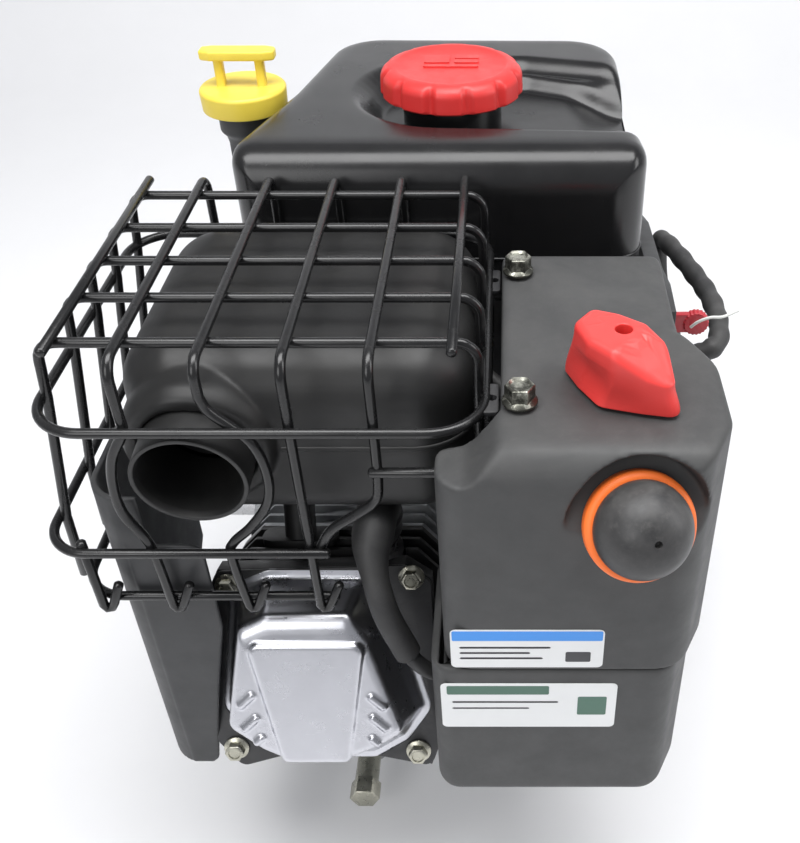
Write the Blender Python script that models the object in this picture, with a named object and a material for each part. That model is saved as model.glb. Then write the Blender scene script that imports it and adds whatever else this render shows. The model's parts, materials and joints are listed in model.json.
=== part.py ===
"""Small single-cylinder overhead-valve gasoline engine with a recoil starter.

Sizes below are in millimetres and become metres in the mesh helpers. +X points to the
starter side, -Y to the cylinder head and +Z up. The origin is on the underside of the
base flange, below the crankshaft axis, in the plane of the cylinder.
"""

import math

import bmesh
import bpy
from mathutils import Matrix, Vector

MM = 0.001
GAP = 0.3  # between pieces that touch

# Crank train
CRANK_HEIGHT = 105.0
CYLINDER_TILT = 20.0  # degrees above the horizontal
THROW = 27.0
ROD_LENGTH = 94.0
BORE_RADIUS = 35.0
DECK = 150.0  # top of the barrel, measured from the crank axis along the cylinder
SHAFT_RADIUS = 12.7
PIN_RADIUS = 14.0
WEB_IN, WEB_OUT = 13.0, 26.0
SHAFT_END = -135.0
CRANK_GEAR_RADIUS = 21.1
CAM_GEAR_RADIUS = 42.4
CAM_Y, CAM_Z = -50.0, 40.0  # cam axis in the cylinder's own frame
CAM_BASE_RADIUS = 12.0
CAM_NOSE_RADIUS = 18.0
LOBE_TURN = {"intake": 55.0, "exhaust": 20.0}  # degrees past pointing away from the pushrods

# Crankcase and head
CASE_LEFT, CASE_RIGHT = -50.0, 58.0
CASE_OUTLINE = [(-108, 13), (90, 13), (90, 150), (60, 186), (-40, 186), (-108, 140)]
CASE_WALL = 8.0
BASE_THICKNESS = 13.0
FIN_CORNERS = [(-50, -50), (50, -50), (50, 45), (-50, 45)]
HEAD_BASE = DECK + 1.8
HEAD_TOP = 199.0
VALVE_X = {"intake": 10.7, "exhaust": -17.3}
VALVE_Y = 5.0
PUSHROD_X = {"intake": 12.7, "exhaust": -19.3}
PUSHROD_Y = -39.5
PORT_Z = 168.0
ROCKER_FLOOR = 179.0
COVER_TOP = 231.4
COVER_FOOT = [(-48, -25), (-32, -43), (-24, -50), (18, -50), (32, -41),
              (42, -26), (28, 26), (17, 41), (-26, 41), (-40, 35)]
COVER_OUTLINE = [(-43.5, -19.9), (-28.4, -31.8), (-17.5, -37.4), (10.7, -36.9),
                 (25.5, -30.2), (37.0, -22.3), (22.7, 24.5), (14.3, 37.2),
                 (-23.2, 36.7), (-35.7, 30.6)]
FLANGE_OUTLINE = [(-57, -46), (-46, -60), (-26, -54), (20, -54), (46, -60), (50, -48),
                  (48, 40), (36, 48), (-50, 45), (-57, 30)]
PLUG_SEAT, PLUG_DIRECTION = (20.0, 22.0, 161.0), (0.1, 0.8, 0.6)

# Flywheel side
FLYWHEEL_LEFT, FLYWHEEL_RIGHT = 66.0, 92.0
FLYWHEEL_RADIUS = 82.0
FAN_RIGHT = 112.0
HOUSING_LEFT, HOUSING_RIGHT = 62.0, 140.0
HOUSING_RADIUS = 91.0
HOUSING_TOP = 280.6
RECOIL_RADIUS = 78.0
RECOIL_RIGHT = 172.0
PULL_DIRECTION = (0.279, 0.0, 0.960)
ROPE_EXIT = (158.0, -14.0, 186.5)

# Fuel tank
TANK_TOP, TANK_BOTTOM = 367.0, 281.0
TANK_WALL = 3.0
TANK_OUTLINE = [(-54, -55), (151, -55), (145, 8), (145, 114), (-14, 116), (-30, 30)]
TANK_CORNERS = [18, 18, 40, 30, 30, 60]
TANK_ROUND = 14.0
WELL_OUTLINE = [(7, -23), (170, -30), (170, 52), (96, 72), (7, 71)]
WELL_CORNERS = [45, 10, 10, 20, 45]
CAP_CENTRE = (54.0, 24.0)
CAP_RADIUS = 36.5
CAP_LOW, CAP_HIGH = 365.5, 379.5
NECK_TOP = 365.2
VALVE_CENTRE = (51.0, -30.0)

# Hood over the carburettor
DECK_HEIGHT = 336.0
HOOD_BOTTOM = 224.5
HOOD_OUTLINE = [(57, -236), (152, -236), (163.5, -212), (163.5, -180), (151, -160), (151, -93),
                (80.5, -93), (80.5, -208), (57, -213)]
HOOD_CORNERS = [12, 14, 16, 12, 16, 4, 4, 6, 6]
HOOD_BOLT_X, HOOD_BOLT_Y = 87.5, {"rear": -111.0, "front": -204.0}
SHROUD_BOTTOM = 136.0
SHROUD_OUTLINE = [(51.5, -236), (149, -236), (160, -214), (160, -180), (149, -160), (149, -96),
                  (62, -96), (51.5, -150)]
SHROUD_CORNERS = [10, 12, 16, 12, 12, 4, 4, 10]
SHROUD_INSIDE = [(55, -232), (144, -232), (155, -212), (155, -182), (145, -162), (145, -85),
                 (40, -85), (40, -140), (55, -140)]
CARB_X, CARB_Y, CARB_Z = (92.0, 138.0), -190.0, 212.0
CHOKE_X, THROTTLE_X, BOWL_X = 125.0, 103.0, 112.0
CHOKE_SHAFT_TOP, THROTTLE_SHAFT_TOP = 342.0, 238.0
KNOB_CENTRE = (125.0, -196.0)
KNOB_OUTLINE = [(107, -190), (110.5, -201), (119.5, -209.5), (131, -211.5), (142, -212.5),
                (139.5, -200), (132.5, -191), (123.5, -184), (113.5, -180.5)]
KNOB_CORNERS = [4, 6, 6, 10, 4, 8, 8, 8, 4]
PRIMER_CENTRE = (130.0, -236.0, 305.0)
PRIMER_RADIUS = 20.5
PRIMER_ELEVATION, PRIMER_YAW = 30.0, 7.0  # degrees

# Exhaust side
MUFFLER_LOW = (-69.0, -190.0, 265.0)
MUFFLER_HIGH = (70.0, -68.0, 342.0)
MUFFLER_ROUND = 22.0
OUTLET_X, OUTLET_Z = -36.7, 305.0
OUTLET_DROOP = 6.4  # degrees
OUTLET_INNER, OUTLET_OUTER, OUTLET_LENGTH = 19.9, 22.3, 20.0
WIRE_RADIUS = 2.0
WELD = WIRE_RADIUS * 1.5  # between the centres of two welded wires
GUARD_TOP, GUARD_UPPER, GUARD_SIDE, GUARD_LOWER, GUARD_BOTTOM = 356.0, 328.0, 308.0, 267.0, 234.0
GUARD_FRONT, GUARD_REAR = -209.2, -58.0

# Oil filler
OIL_X, OIL_Y = -57.0, 36.0
FILLER_HOLE_X = -67.0

# Switch panel, with its outline as (Y, Z)
PANEL_LEFT, PANEL_RIGHT = 152.0, 160.0
PANEL_OUTLINE = [(-100, 272), (52, 240), (52, 283), (11, 297), (-50, 303), (-77, 310), (-100, 309)]
KEY_Y, KEY_Z = -91.0, 297.6

# Frames: local z is the direction in which a shape is extruded or turned.
CRANK = Matrix.Translation((0, 0, CRANK_HEIGHT * MM)) @ Matrix(
    ((0, 0, 1, 0), (1, 0, 0, 0), (0, 1, 0, 0), (0, 0, 0, 1))
)
CYLINDER = Matrix.Translation((0, 0, CRANK_HEIGHT * MM)) @ Matrix.Rotation(
    math.radians(90 - CYLINDER_TILT), 4, "X"
)


# ---------------------------------------------------------------- helpers


def shift(x=0.0, y=0.0, z=0.0):
    """A translation given in millimetres."""
    return Matrix.Translation((x * MM, y * MM, z * MM))


def side_frame(x=0.0, y=0.0, z=0.0):
    """Local x is world Y, local y is world Z, local z is world X."""
    return shift(x, y, z) @ CRANK.to_3x3().to_4x4()


def front_frame(x=0.0, y=0.0, z=0.0):
    """Local x is world X, local y is world Z, local z points forward, along -Y."""
    return shift(x, y, z) @ Matrix.Rotation(math.radians(90), 4, "X")


def aimed_frame(point, direction):
    """Local z points along the direction, from the point."""
    turn = Vector(direction).to_track_quat("Z", "Y").to_matrix().to_4x4()
    return shift(*point) @ turn


def material(name, colour, roughness, metallic=0.0):
    found = bpy.data.materials.get(name)
    if found:
        return found
    made = bpy.data.materials.new(name)
    made.use_nodes = True
    shader = made.node_tree.nodes["Principled BSDF"]
    shader.inputs["Base Color"].default_value = (*colour, 1.0)
    shader.inputs["Roughness"].default_value = roughness
    shader.inputs["Metallic"].default_value = metallic
    made.diffuse_color = (*colour, 1.0)
    return made


def finish_mesh(name, mesh_maker):
    bmesh.ops.recalc_face_normals(mesh_maker, faces=mesh_maker.faces)
    mesh = bpy.data.meshes.new(name)
    mesh_maker.to_mesh(mesh)
    mesh_maker.free()
    mesh.shade_smooth()
    mesh.set_sharp_from_angle(angle=math.radians(35))
    return mesh


def loft(name, rings, looped=False):
    """Joins rings of equally many points, and closes the ends unless the loft is looped."""
    shape = bmesh.new()
    rows = [[shape.verts.new(Vector(p) * MM) for p in ring] for ring in rings]
    pairs = list(zip(rows, rows[1:]))
    if looped:
        pairs.append((rows[-1], rows[0]))
    else:
        shape.faces.new(rows[0])
        shape.faces.new(rows[-1])
    for lower, upper in pairs:
        count = len(lower)
        for i in range(count):
            j = (i + 1) % count
            shape.faces.new((lower[i], lower[j], upper[j], upper[i]))
    return finish_mesh(name, shape)


def at_height(outline, height):
    return [(x, y, height) for x, y in outline]


def prism(name, outline, low, high):
    return loft(name, [at_height(outline, low), at_height(outline, high)])


def block(name, low, high):
    outline = [(low[0], low[1]), (high[0], low[1]), (high[0], high[1]), (low[0], high[1])]
    return prism(name, outline, low[2], high[2])


def circle(radius, segments, centre=(0.0, 0.0), start=0.0, sweep=360.0):
    """Points around a circle, or along an arc that includes both of its ends."""
    full = sweep >= 360.0
    steps = segments if full else segments - 1
    angles = [math.radians(start + sweep * i / steps) for i in range(segments)]
    return [
        (centre[0] + radius * math.cos(a), centre[1] + radius * math.sin(a))
        for a in angles
    ]


def turned(name, profile, segments=24):
    """Turns a closed profile of (radius, height) about z. A radius of 0 is on the axis."""
    shape = bmesh.new()
    columns = []
    for i in range(segments):
        angle = 2 * math.pi * i / segments
        columns.append([
            shape.verts.new(Vector((r * math.cos(angle), r * math.sin(angle), h)) * MM)
            for r, h in profile
        ])
    count = len(profile)
    for i in range(segments):
        here, there = columns[i], columns[(i + 1) % segments]
        for k in range(count):
            m = (k + 1) % count
            if profile[k][0] or profile[m][0]:
                shape.faces.new((here[k], here[m], there[m], there[k]))
    bmesh.ops.remove_doubles(shape, verts=shape.verts, dist=1e-7)
    return finish_mesh(name, shape)


def cylinder(name, radius, low, high, segments=24):
    return turned(name, [(0, low), (radius, low), (radius, high), (0, high)], segments)


def ring(name, inner, outer, low, high, segments=24):
    profile = [(inner, low), (outer, low), (outer, high), (inner, high)]
    return turned(name, profile, segments)


def smooth_route(points, per_span=3):
    """Points along a Catmull-Rom curve through the given points."""
    points = [Vector(p) for p in points]
    padded = [2 * points[0] - points[1], *points, 2 * points[-1] - points[-2]]
    route = []
    for a, b, c, d in zip(padded, padded[1:], padded[2:], padded[3:]):
        for i in range(per_span):
            t = i / per_span
            route.append(0.5 * (
                2 * b + (c - a) * t + (2 * a - 5 * b + 4 * c - d) * t * t
                + (3 * b - a - 3 * c + d) * t ** 3
            ))
    return [*route, points[-1]]


def rounded_route(corners, radius, steps=3, closed=False):
    """A route of straight runs whose corners are rounded with arcs."""
    points = [Vector(p) for p in corners]
    count = len(points)
    route = []
    for i, corner in enumerate(points):
        if not closed and i in (0, count - 1):
            route.append(corner)
            continue
        before = (points[i - 1] - corner).normalized()
        after = (points[(i + 1) % count] - corner).normalized()
        half = before.angle(after) / 2
        if half > math.radians(88):
            route.append(corner)
            continue
        reach = radius / math.tan(half)
        centre = corner + (before + after).normalized() * (radius / math.sin(half))
        start = (corner + before * reach - centre).normalized()
        end = (corner + after * reach - centre).normalized()
        for k in range(steps + 1):
            route.append(centre + start.slerp(end, k / steps) * radius)
    return route


def tube(name, route, radius, sides=6, closed=False, inner=0.0):
    """A pipe along a route, with its section carried along without twisting."""
    points = [Vector(p) for p in route]
    count = len(points)
    tangents = []
    for i, point in enumerate(points):
        before = points[i - 1] if closed or i else point
        after = points[(i + 1) % count] if closed or i < count - 1 else point
        tangents.append((after - before).normalized())
    normal = tangents[0].orthogonal().normalized()
    outer_rings, inner_rings = [], []
    for i, (point, tangent) in enumerate(zip(points, tangents)):
        if i:
            normal = (tangents[i - 1].rotation_difference(tangent) @ normal).normalized()
        across = tangent.cross(normal)
        turns = [math.tau * k / sides for k in range(sides)]
        spokes = [normal * math.cos(a) + across * math.sin(a) for a in turns]
        outer_rings.append([point + s * radius for s in spokes])
        inner_rings.append([point + s * inner for s in spokes])
    if inner:
        return loft(name, outer_rings + inner_rings[::-1], looped=True)
    return loft(name, outer_rings, looped=closed)


def rounded_outline(corners, radii, steps=3):
    """A closed 2-D outline with its corners rounded. Radii is one number or one each."""
    if not isinstance(radii, (list, tuple)):
        radii = [radii] * len(corners)
    points = [Vector(c) for c in corners]
    outline = []
    for i, corner in enumerate(points):
        before = (points[i - 1] - corner).normalized()
        after = (points[(i + 1) % len(points)] - corner).normalized()
        half = before.angle(after) / 2
        centre = corner + (before + after).normalized() * (radii[i] / math.sin(half))
        reach = radii[i] / math.tan(half)
        start, end = corner + before * reach - centre, corner + after * reach - centre
        for k in range(steps + 1):
            turn = start.angle_signed(end) * k / steps
            c, s = math.cos(-turn), math.sin(-turn)
            outline.append((
                centre.x + start.x * c - start.y * s, centre.y + start.x * s + start.y * c
            ))
    return outline


def grown(outline, amount):
    """The outline moved outwards by an amount. Its points run anticlockwise."""
    result = []
    for i, point in enumerate(outline):
        here = Vector(point)
        before = (here - Vector(outline[i - 1])).normalized()
        after = (Vector(outline[(i + 1) % len(outline)]) - here).normalized()
        normal = Vector((before.y + after.y, -before.x - after.x))
        scale = amount * 2 / max(normal.length_squared, 0.4)
        result.append((here.x + normal.x * scale, here.y + normal.y * scale))
    return result


def soft_block(name, outline, low, high, low_round, high_round, steps=3):
    """An extruded outline whose bottom and top edges are rounded."""
    def edge_rings(radius, edge, inward):
        if not radius:
            return [at_height(outline, edge)]
        made = []
        for k in range(steps + 1):
            angle = math.radians(90 * k / steps)
            inset = radius * (1 - math.sin(angle))
            height = edge + inward * radius * (1 - math.cos(angle))
            made.append(at_height(grown(outline, -inset), height))
        return made

    return loft(name, edge_rings(low_round, low, 1) + edge_rings(high_round, high, -1)[::-1])


def add_part(name, mesh, finish, frame=None):
    """Puts a mesh in the scene as a sub-part with its material."""
    part = bpy.data.objects.new(name, mesh)
    bpy.context.scene.collection.objects.link(part)
    part.matrix_world = frame or Matrix()
    mesh.materials.append(finish)
    return part


def combine(part, operation, mesh, frame=None):
    """Adds or cuts a helper shape with a Boolean. The frame is a world frame."""
    helper = bpy.data.objects.new(mesh.name, mesh)
    bpy.context.scene.collection.objects.link(helper)
    helper.matrix_world = frame or Matrix()
    helper.hide_render = True
    helper.display_type = "WIRE"
    modifier = part.modifiers.new(mesh.name, "BOOLEAN")
    modifier.operation = operation
    modifier.object = helper


def cut(part, mesh, frame=None):
    combine(part, "DIFFERENCE", mesh, frame)


def join(part, mesh, frame=None):
    combine(part, "UNION", mesh, frame)


# -------------------------------------------------------------- materials


def cast_aluminium():
    return material("cast_aluminium", (0.42, 0.43, 0.44), 0.5, 0.8)


def black_paint():
    return material("black_paint", (0.02, 0.02, 0.022), 0.45)


def steel():
    return material("steel", (0.55, 0.56, 0.58), 0.3, 1.0)


def zinc():
    return material("zinc", (0.42, 0.41, 0.34), 0.35, 0.9)


def brass():
    return material("brass", (0.6, 0.45, 0.2), 0.35, 1.0)


def matte_black():
    return material("matte_black_plastic", (0.035, 0.036, 0.038), 0.65)


def gloss_black():
    return material("gloss_black_plastic", (0.012, 0.012, 0.013), 0.25)


def red_plastic():
    return material("red_plastic", (0.62, 0.05, 0.05), 0.45)


def yellow_plastic():
    return material("yellow_plastic", (0.82, 0.68, 0.12), 0.45)


def orange_rubber():
    return material("orange_rubber", (0.85, 0.22, 0.05), 0.5)


def black_rubber():
    return material("black_rubber", (0.03, 0.03, 0.032), 0.6)


# ------------------------------------------------------ crankcase and base


def cylinder_point(x, y, z):
    """World position, in millimetres, of a point in the cylinder's frame."""
    return CYLINDER @ Vector((x * MM, y * MM, z * MM)) / MM


def cam_frame():
    """The cam axis: the crank frame moved to the cam's centre."""
    centre = cylinder_point(0, CAM_Y, CAM_Z)
    return CRANK @ shift(centre.y, centre.z - CRANK_HEIGHT, 0)


def make_crankcase():
    """Casting with the barrel, its fins, the base flange and the drain boss."""
    frame = side_frame()
    case = add_part(
        "crankcase", prism("case", CASE_OUTLINE, CASE_LEFT, CASE_RIGHT), cast_aluminium(), frame
    )
    base = rounded_outline([(-62, -112), (66, -112), (66, 95), (-62, 95)], 14)
    join(case, prism("base_flange", base, 0, BASE_THICKNESS + 0.5))
    join(case, cylinder("barrel", 43.5, 60, DECK, 24), CYLINDER)
    fin = rounded_outline(FIN_CORNERS, 10, 1)
    for height in (108, 121, 134):
        join(case, prism("barrel_fin", fin, height, height + 3), CYLINDER)
    join(case, prism("deck_plate", fin, DECK - 4, DECK), CYLINDER)
    join(case, cylinder("drain_boss", 10, 100, 140, 16), front_frame(1, 0, 27))
    cavity = grown(CASE_OUTLINE, -CASE_WALL)
    cut(case, prism("case_cavity", cavity, CASE_LEFT - 5, CASE_RIGHT - CASE_WALL), frame)
    cut(case, cylinder("bore", BORE_RADIUS, 40, DECK + 5, 28), CYLINDER)
    cut(case, cylinder("bearing_seat", 26.1, 41, CASE_RIGHT + 5, 24), CRANK)
    cut(case, cylinder("drain_hole", 6.3, 60, 145, 12), front_frame(1, 0, 27))
    for x in PUSHROD_X.values():
        cut(case, cylinder("pushrod_passage", 4.4, 62, DECK + 5, 8), CYLINDER @ shift(x, PUSHROD_Y))
    cut(case, cylinder("cam_bearing", 7.4, 45, 55, 16), cam_frame())
    for x in (-50, 54):
        for y in (-98, 82):
            cut(case, cylinder("base_bolt_hole", 4.4, -5, 30, 8), shift(x, y))


def make_crankcase_cover():
    """Plate over the open side of the crankcase, with the power take-off boss."""
    frame = side_frame()
    outline = grown(CASE_OUTLINE, -0.5)
    cover = add_part(
        "crankcase_cover", prism("cover", outline, CASE_LEFT - 10, CASE_LEFT - GAP),
        cast_aluminium(), frame,
    )
    cut(cover, cylinder("cam_pocket", 7.4, -57, -45, 12), cam_frame())
    boss = ((FILLER_HOLE_X - 8, OIL_Y - 14, 116), (CASE_LEFT - 3, OIL_Y + 14, 187))
    join(cover, block("filler_boss", *boss))
    cut(cover, cylinder("filler_hole", 5.5, 121, 190, 12), shift(FILLER_HOLE_X, OIL_Y))
    cut(cover, cylinder("filler_way", 5.5, FILLER_HOLE_X, -40, 12), side_frame(0, OIL_Y, 128))
    join(cover, cylinder("seal_boss", 34, -70, -55, 24), CRANK)
    cut(cover, cylinder("cover_bearing_seat", 26.2, -60.5, -45, 24), CRANK)
    cut(cover, cylinder("seal_seat", 18.3, -75, -58, 24), CRANK)


def make_bearings():
    for name, low in (("bearing_pto", -60.2), ("bearing_flywheel", 42.0)):
        add_part(name, ring(name, 13.2, 25.6, low, low + 14, 24), steel(), CRANK)
    add_part("oil_seal", ring("oil_seal", 13.2, 17.7, -67, -60.8, 24), black_rubber(), CRANK)


def make_drain_plug():
    thread = cylinder("oil_drain_plug", 5.9, 128, 143, 12)
    plug = add_part("oil_drain_plug", thread, zinc(), front_frame(1, 0, 27))
    join(plug, prism("drain_flange", circle(11, 20), 140.3, 143), front_frame(1, 0, 27))
    join(plug, cylinder("drain_pipe", 6.8, 142, 162, 20), front_frame(1, 0, 27))
    join(plug, prism("drain_hex", circle(8.5, 6), 161, 171.5), front_frame(1, 0, 27))


# ------------------------------------------------------------ crank train


def top_dead_centre(distance):
    """Offset in the crank frame's plane towards the cylinder."""
    tilt = math.radians(CYLINDER_TILT)
    return -distance * math.cos(tilt), distance * math.sin(tilt)


def make_crankshaft():
    output = cylinder("crankshaft", SHAFT_RADIUS, SHAFT_END, -20, 24)
    shaft = add_part("crankshaft", output, steel(), CRANK)
    pin_y, pin_z = top_dead_centre(THROW)
    heading = math.degrees(math.atan2(pin_z, pin_y))
    web = circle(20, 7, (pin_y, pin_z), heading - 90, 180)
    web += circle(44, 9, (0, 0), heading + 120, 120)
    for name, low, high in (("web_left", -WEB_OUT, -WEB_IN), ("web_right", WEB_IN, WEB_OUT)):
        join(shaft, prism(name, web, low, high), CRANK)
    pin = circle(PIN_RADIUS, 20, (pin_y, pin_z))
    join(shaft, prism("crankpin", pin, -WEB_OUT + 4, WEB_OUT - 4), CRANK)
    flywheel_end = [(0, 20), (SHAFT_RADIUS, 20), (SHAFT_RADIUS, 62), (10, 66), (10, 92),
                    (7, 92), (7, 105), (0, 105)]
    join(shaft, turned("flywheel_end", flywheel_end, 20), CRANK)
    join(shaft, cylinder("crank_gear", CRANK_GEAR_RADIUS, -44, -34, 24), CRANK)
    cut(shaft, block("key_slot", (-2.4, 9.5, SHAFT_END - 1), (2.4, 14, SHAFT_END + 40)), CRANK)


def make_rod_and_piston():
    aluminium = cast_aluminium()
    pin_y, pin_z = top_dead_centre(THROW)
    big_end = CRANK @ shift(pin_y, pin_z, 0)
    cap = ring("rod_big_end", PIN_RADIUS + 0.6, 19, -10.5, 10.5, 20)
    add_part("rod_big_end", cap, aluminium, big_end)
    wrist = CYLINDER @ shift(0, 0, THROW + ROD_LENGTH)
    beam_low = THROW + 19.6
    rod = add_part(
        "connecting_rod",
        block("rod_beam", (-4, -7, beam_low), (4, 7, THROW + ROD_LENGTH - 6)),
        aluminium, CYLINDER,
    )
    sideways = wrist @ Matrix.Rotation(math.radians(90), 4, "Y")
    join(rod, cylinder("small_end", 12, -9, 9, 16), sideways)
    cut(rod, cylinder("small_end_bore", 8.5, -12, 12, 16), sideways)
    add_part("wrist_pin", ring("wrist_pin", 5, 8, -32, 32, 16), steel(), sideways)
    crown = THROW + ROD_LENGTH + 26
    profile = [(0, crown), (33.8, crown), (34.5, crown - 1), (34.5, 99), (30.5, 99),
               (30.5, crown - 7), (0, crown - 7)]
    piston = add_part("piston", turned("piston", profile, 24), aluminium, CYLINDER)
    cut(piston, cylinder("wrist_pin_bore", 8.5, -40, 40, 16), sideways)


def make_camshaft():
    frame = cam_frame()
    shaft = add_part("camshaft", cylinder("camshaft", 7, -56, 54, 16), steel(), frame)
    join(shaft, cylinder("cam_gear", CAM_GEAR_RADIUS, -44, -34, 32), frame)
    nose_radius = 5
    lobe = circle(nose_radius, 4, (CAM_NOSE_RADIUS - nose_radius, 0), -60, 120)
    lobe += circle(CAM_BASE_RADIUS, 10, (0, 0), 60, 240)
    for name, x in PUSHROD_X.items():
        heading = math.radians(LOBE_TURN[name] - CYLINDER_TILT)
        turn = Matrix.Rotation(heading, 4, "Z")
        join(shaft, prism(name + "_lobe", lobe, x - 4.5, x + 4.5), frame @ turn)


# --------------------------------------------------------- cylinder head


def make_cylinder_head():
    """Finned head with the combustion recess, ports, valve guides and rocker box."""
    body = rounded_outline([(-43, -52), (43, -52), (43, 42), (-43, 42)], 8, 1)
    casting = prism("head", body, HEAD_BASE, HEAD_TOP - 6)
    head = add_part("cylinder_head", casting, cast_aluminium(), CYLINDER)
    fin = rounded_outline(FIN_CORNERS, 10, 1)
    for height in (HEAD_BASE, 163, 175):
        join(head, prism("head_fin", fin, height, height + 3), CYLINDER)
    join(head, prism("rocker_flange", FLANGE_OUTLINE, HEAD_TOP - 9, HEAD_TOP), CYLINDER)
    chamber = [(0, 148), (33, 148), (31, 160), (0, 160)]
    cut(head, turned("chamber", chamber, 24), CYLINDER)
    join(head, cylinder("intake_boss", 12, 38, 50, 16), intake_frame())
    join(head, cylinder("exhaust_boss", 11, 36, 45, 16), exhaust_frame())
    cut(head, prism("rocker_box", grown(COVER_FOOT, -4), ROCKER_FLOOR, HEAD_TOP + 5), CYLINDER)
    for name, x in VALVE_X.items():
        guide = CYLINDER @ shift(x, VALVE_Y)
        join(head, cylinder(name + "_pivot_post", 3, ROCKER_FLOOR - 2, 202.4, 10),
             CYLINDER @ shift((x + PUSHROD_X[name]) / 2, (VALVE_Y + PUSHROD_Y) / 2))
        cut(head, cylinder(name + "_guide", 3.3, 150, 200, 10), guide)
        cut(head, cylinder(name + "_port", 9, 155, 170, 14), guide)
        cut(head, cylinder(name + "_pushrod_hole", 4.4, 148, 205, 8),
            CYLINDER @ shift(PUSHROD_X[name], PUSHROD_Y))
    cut(head, cylinder("intake_port_way", 7.5, VALVE_X["intake"], 60, 12), intake_frame())
    cut(head, cylinder("exhaust_port_way", 7.5, VALVE_Y, 60, 12), exhaust_frame())
    cut(head, cylinder("plug_thread", 7.2, -6, 60, 16), plug_frame())
    cut(head, cylinder("plug_seat", 12, 22, 60, 16), plug_frame())
    gasket = add_part("head_gasket", prism("head_gasket", fin, DECK + GAP, HEAD_BASE - GAP),
                      material("gasket", (0.18, 0.17, 0.16), 0.7), CYLINDER)
    cut(gasket, cylinder("gasket_bore", 36, 140, 160, 24), CYLINDER)
    for x in PUSHROD_X.values():
        cut(gasket, cylinder("gasket_hole", 4.4, 140, 160, 8), CYLINDER @ shift(x, PUSHROD_Y))


def plug_frame():
    """The spark plug's axis, leaning up and back from the combustion chamber."""
    return CYLINDER @ aimed_frame(PLUG_SEAT, PLUG_DIRECTION)


def make_spark_plug():
    profile = [(0, 1), (6.8, 1), (6.8, 23), (10.5, 23), (10.5, 33), (7, 34), (7, 46),
               (3, 46), (3, 54), (0, 54)]
    add_part("spark_plug", turned("spark_plug", profile, 16), steel(), plug_frame())


def make_plug_lead():
    """Rubber boot over the plug's end and the lead that runs to the coil."""
    plug_end = plug_frame()
    start = plug_end @ Vector((0, 0, 47 * MM)) / MM
    top = plug_end @ Vector((0, 0, 68 * MM)) / MM
    route = smooth_route([
        top, (27, -178, 256), (26, -195, 248), (31, -207, 228), (40, -212, 206),
        (51, -208, 188), (63, -188, 170), (74, -165, 150), (79, -125, 158),
        (79, -90, 188), (79, -58, 203), (79, -24.5, 203),
    ], 2)
    lead = add_part("plug_lead", tube("plug_lead", route, 3.6, 7), black_rubber())
    boot = smooth_route([start, top, (27, -178, 256), (26, -194, 249)], 2)
    join(lead, tube("plug_boot", boot, 8, 9))
    cut(lead, cylinder("boot_socket", 3.4, 40, 56, 12), plug_end)


def make_valve_cover():
    flange = grown(COVER_FOOT, 3)
    rings = [
        at_height(flange, HEAD_TOP + GAP), at_height(flange, 201), at_height(COVER_FOOT, 201.2),
        at_height(COVER_OUTLINE, 226), at_height(grown(COVER_OUTLINE, -4), COVER_TOP),
    ]
    cover = add_part("valve_cover", loft("valve_cover", rings), steel(), CYLINDER)
    inner = [
        at_height(grown(COVER_FOOT, -1.5), 190), at_height(grown(COVER_FOOT, -1.5), 203),
        at_height(grown(COVER_OUTLINE, -2), 225), at_height(grown(COVER_OUTLINE, -6), COVER_TOP - 2),
    ]
    cut(cover, loft("cover_hollow", inner), CYLINDER)


def make_valve_train():
    """Valves, springs, rockers and pushrods, with the valves closed."""
    for name, x in VALVE_X.items():
        head_radius = 12.5 if name == "intake" else 11.5
        profile = [(0, 157), (head_radius, 157), (head_radius, 158), (8, 159.6), (2.9, 164),
                   (2.9, 196), (8.2, 196), (8.2, 199), (2.9, 199.5), (2.9, 203), (0, 203)]
        add_part(name + "_valve", turned(name, profile, 16), steel(), CYLINDER @ shift(x, VALVE_Y))
        coil = [
            (6.6 * math.cos(math.tau * t / 8), 6.6 * math.sin(math.tau * t / 8),
             ROCKER_FLOOR + 1.5 + 13 * t / 24)
            for t in range(25)
        ]
        spring = tube(name, coil, 1.0, 5)
        add_part(name + "_spring", spring, steel(), CYLINDER @ shift(x, VALVE_Y))
        rod_x = PUSHROD_X[name]
        foot = CAM_NOSE_RADIUS + CAM_Z + GAP
        profile = [(0, foot), (9.8, foot), (9.8, foot + 4), (2.5, foot + 8), (2.5, 203), (0, 203)]
        pushrod = turned(name, profile, 12)
        add_part(name + "_pushrod", pushrod, steel(), CYLINDER @ shift(rod_x, PUSHROD_Y))
        arm = Vector((x - rod_x, VALVE_Y - PUSHROD_Y))
        turn = math.atan2(arm.y, arm.x)
        pivot = CYLINDER @ shift((x + rod_x) / 2, (VALVE_Y + PUSHROD_Y) / 2, 206)
        half = arm.length / 2
        outline = circle(3, 6, (half, 0), -90, 180) + [(5, 5), (-5, 5)]
        outline += circle(3, 6, (-half, 0), 90, 180) + [(-5, -5), (5, -5)]
        add_part(name + "_rocker", prism(name, outline, -2.6, 2.6), steel(),
                 pivot @ Matrix.Rotation(turn, 4, "Z"))


# ---------------------------------------------------------- flywheel side


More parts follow.
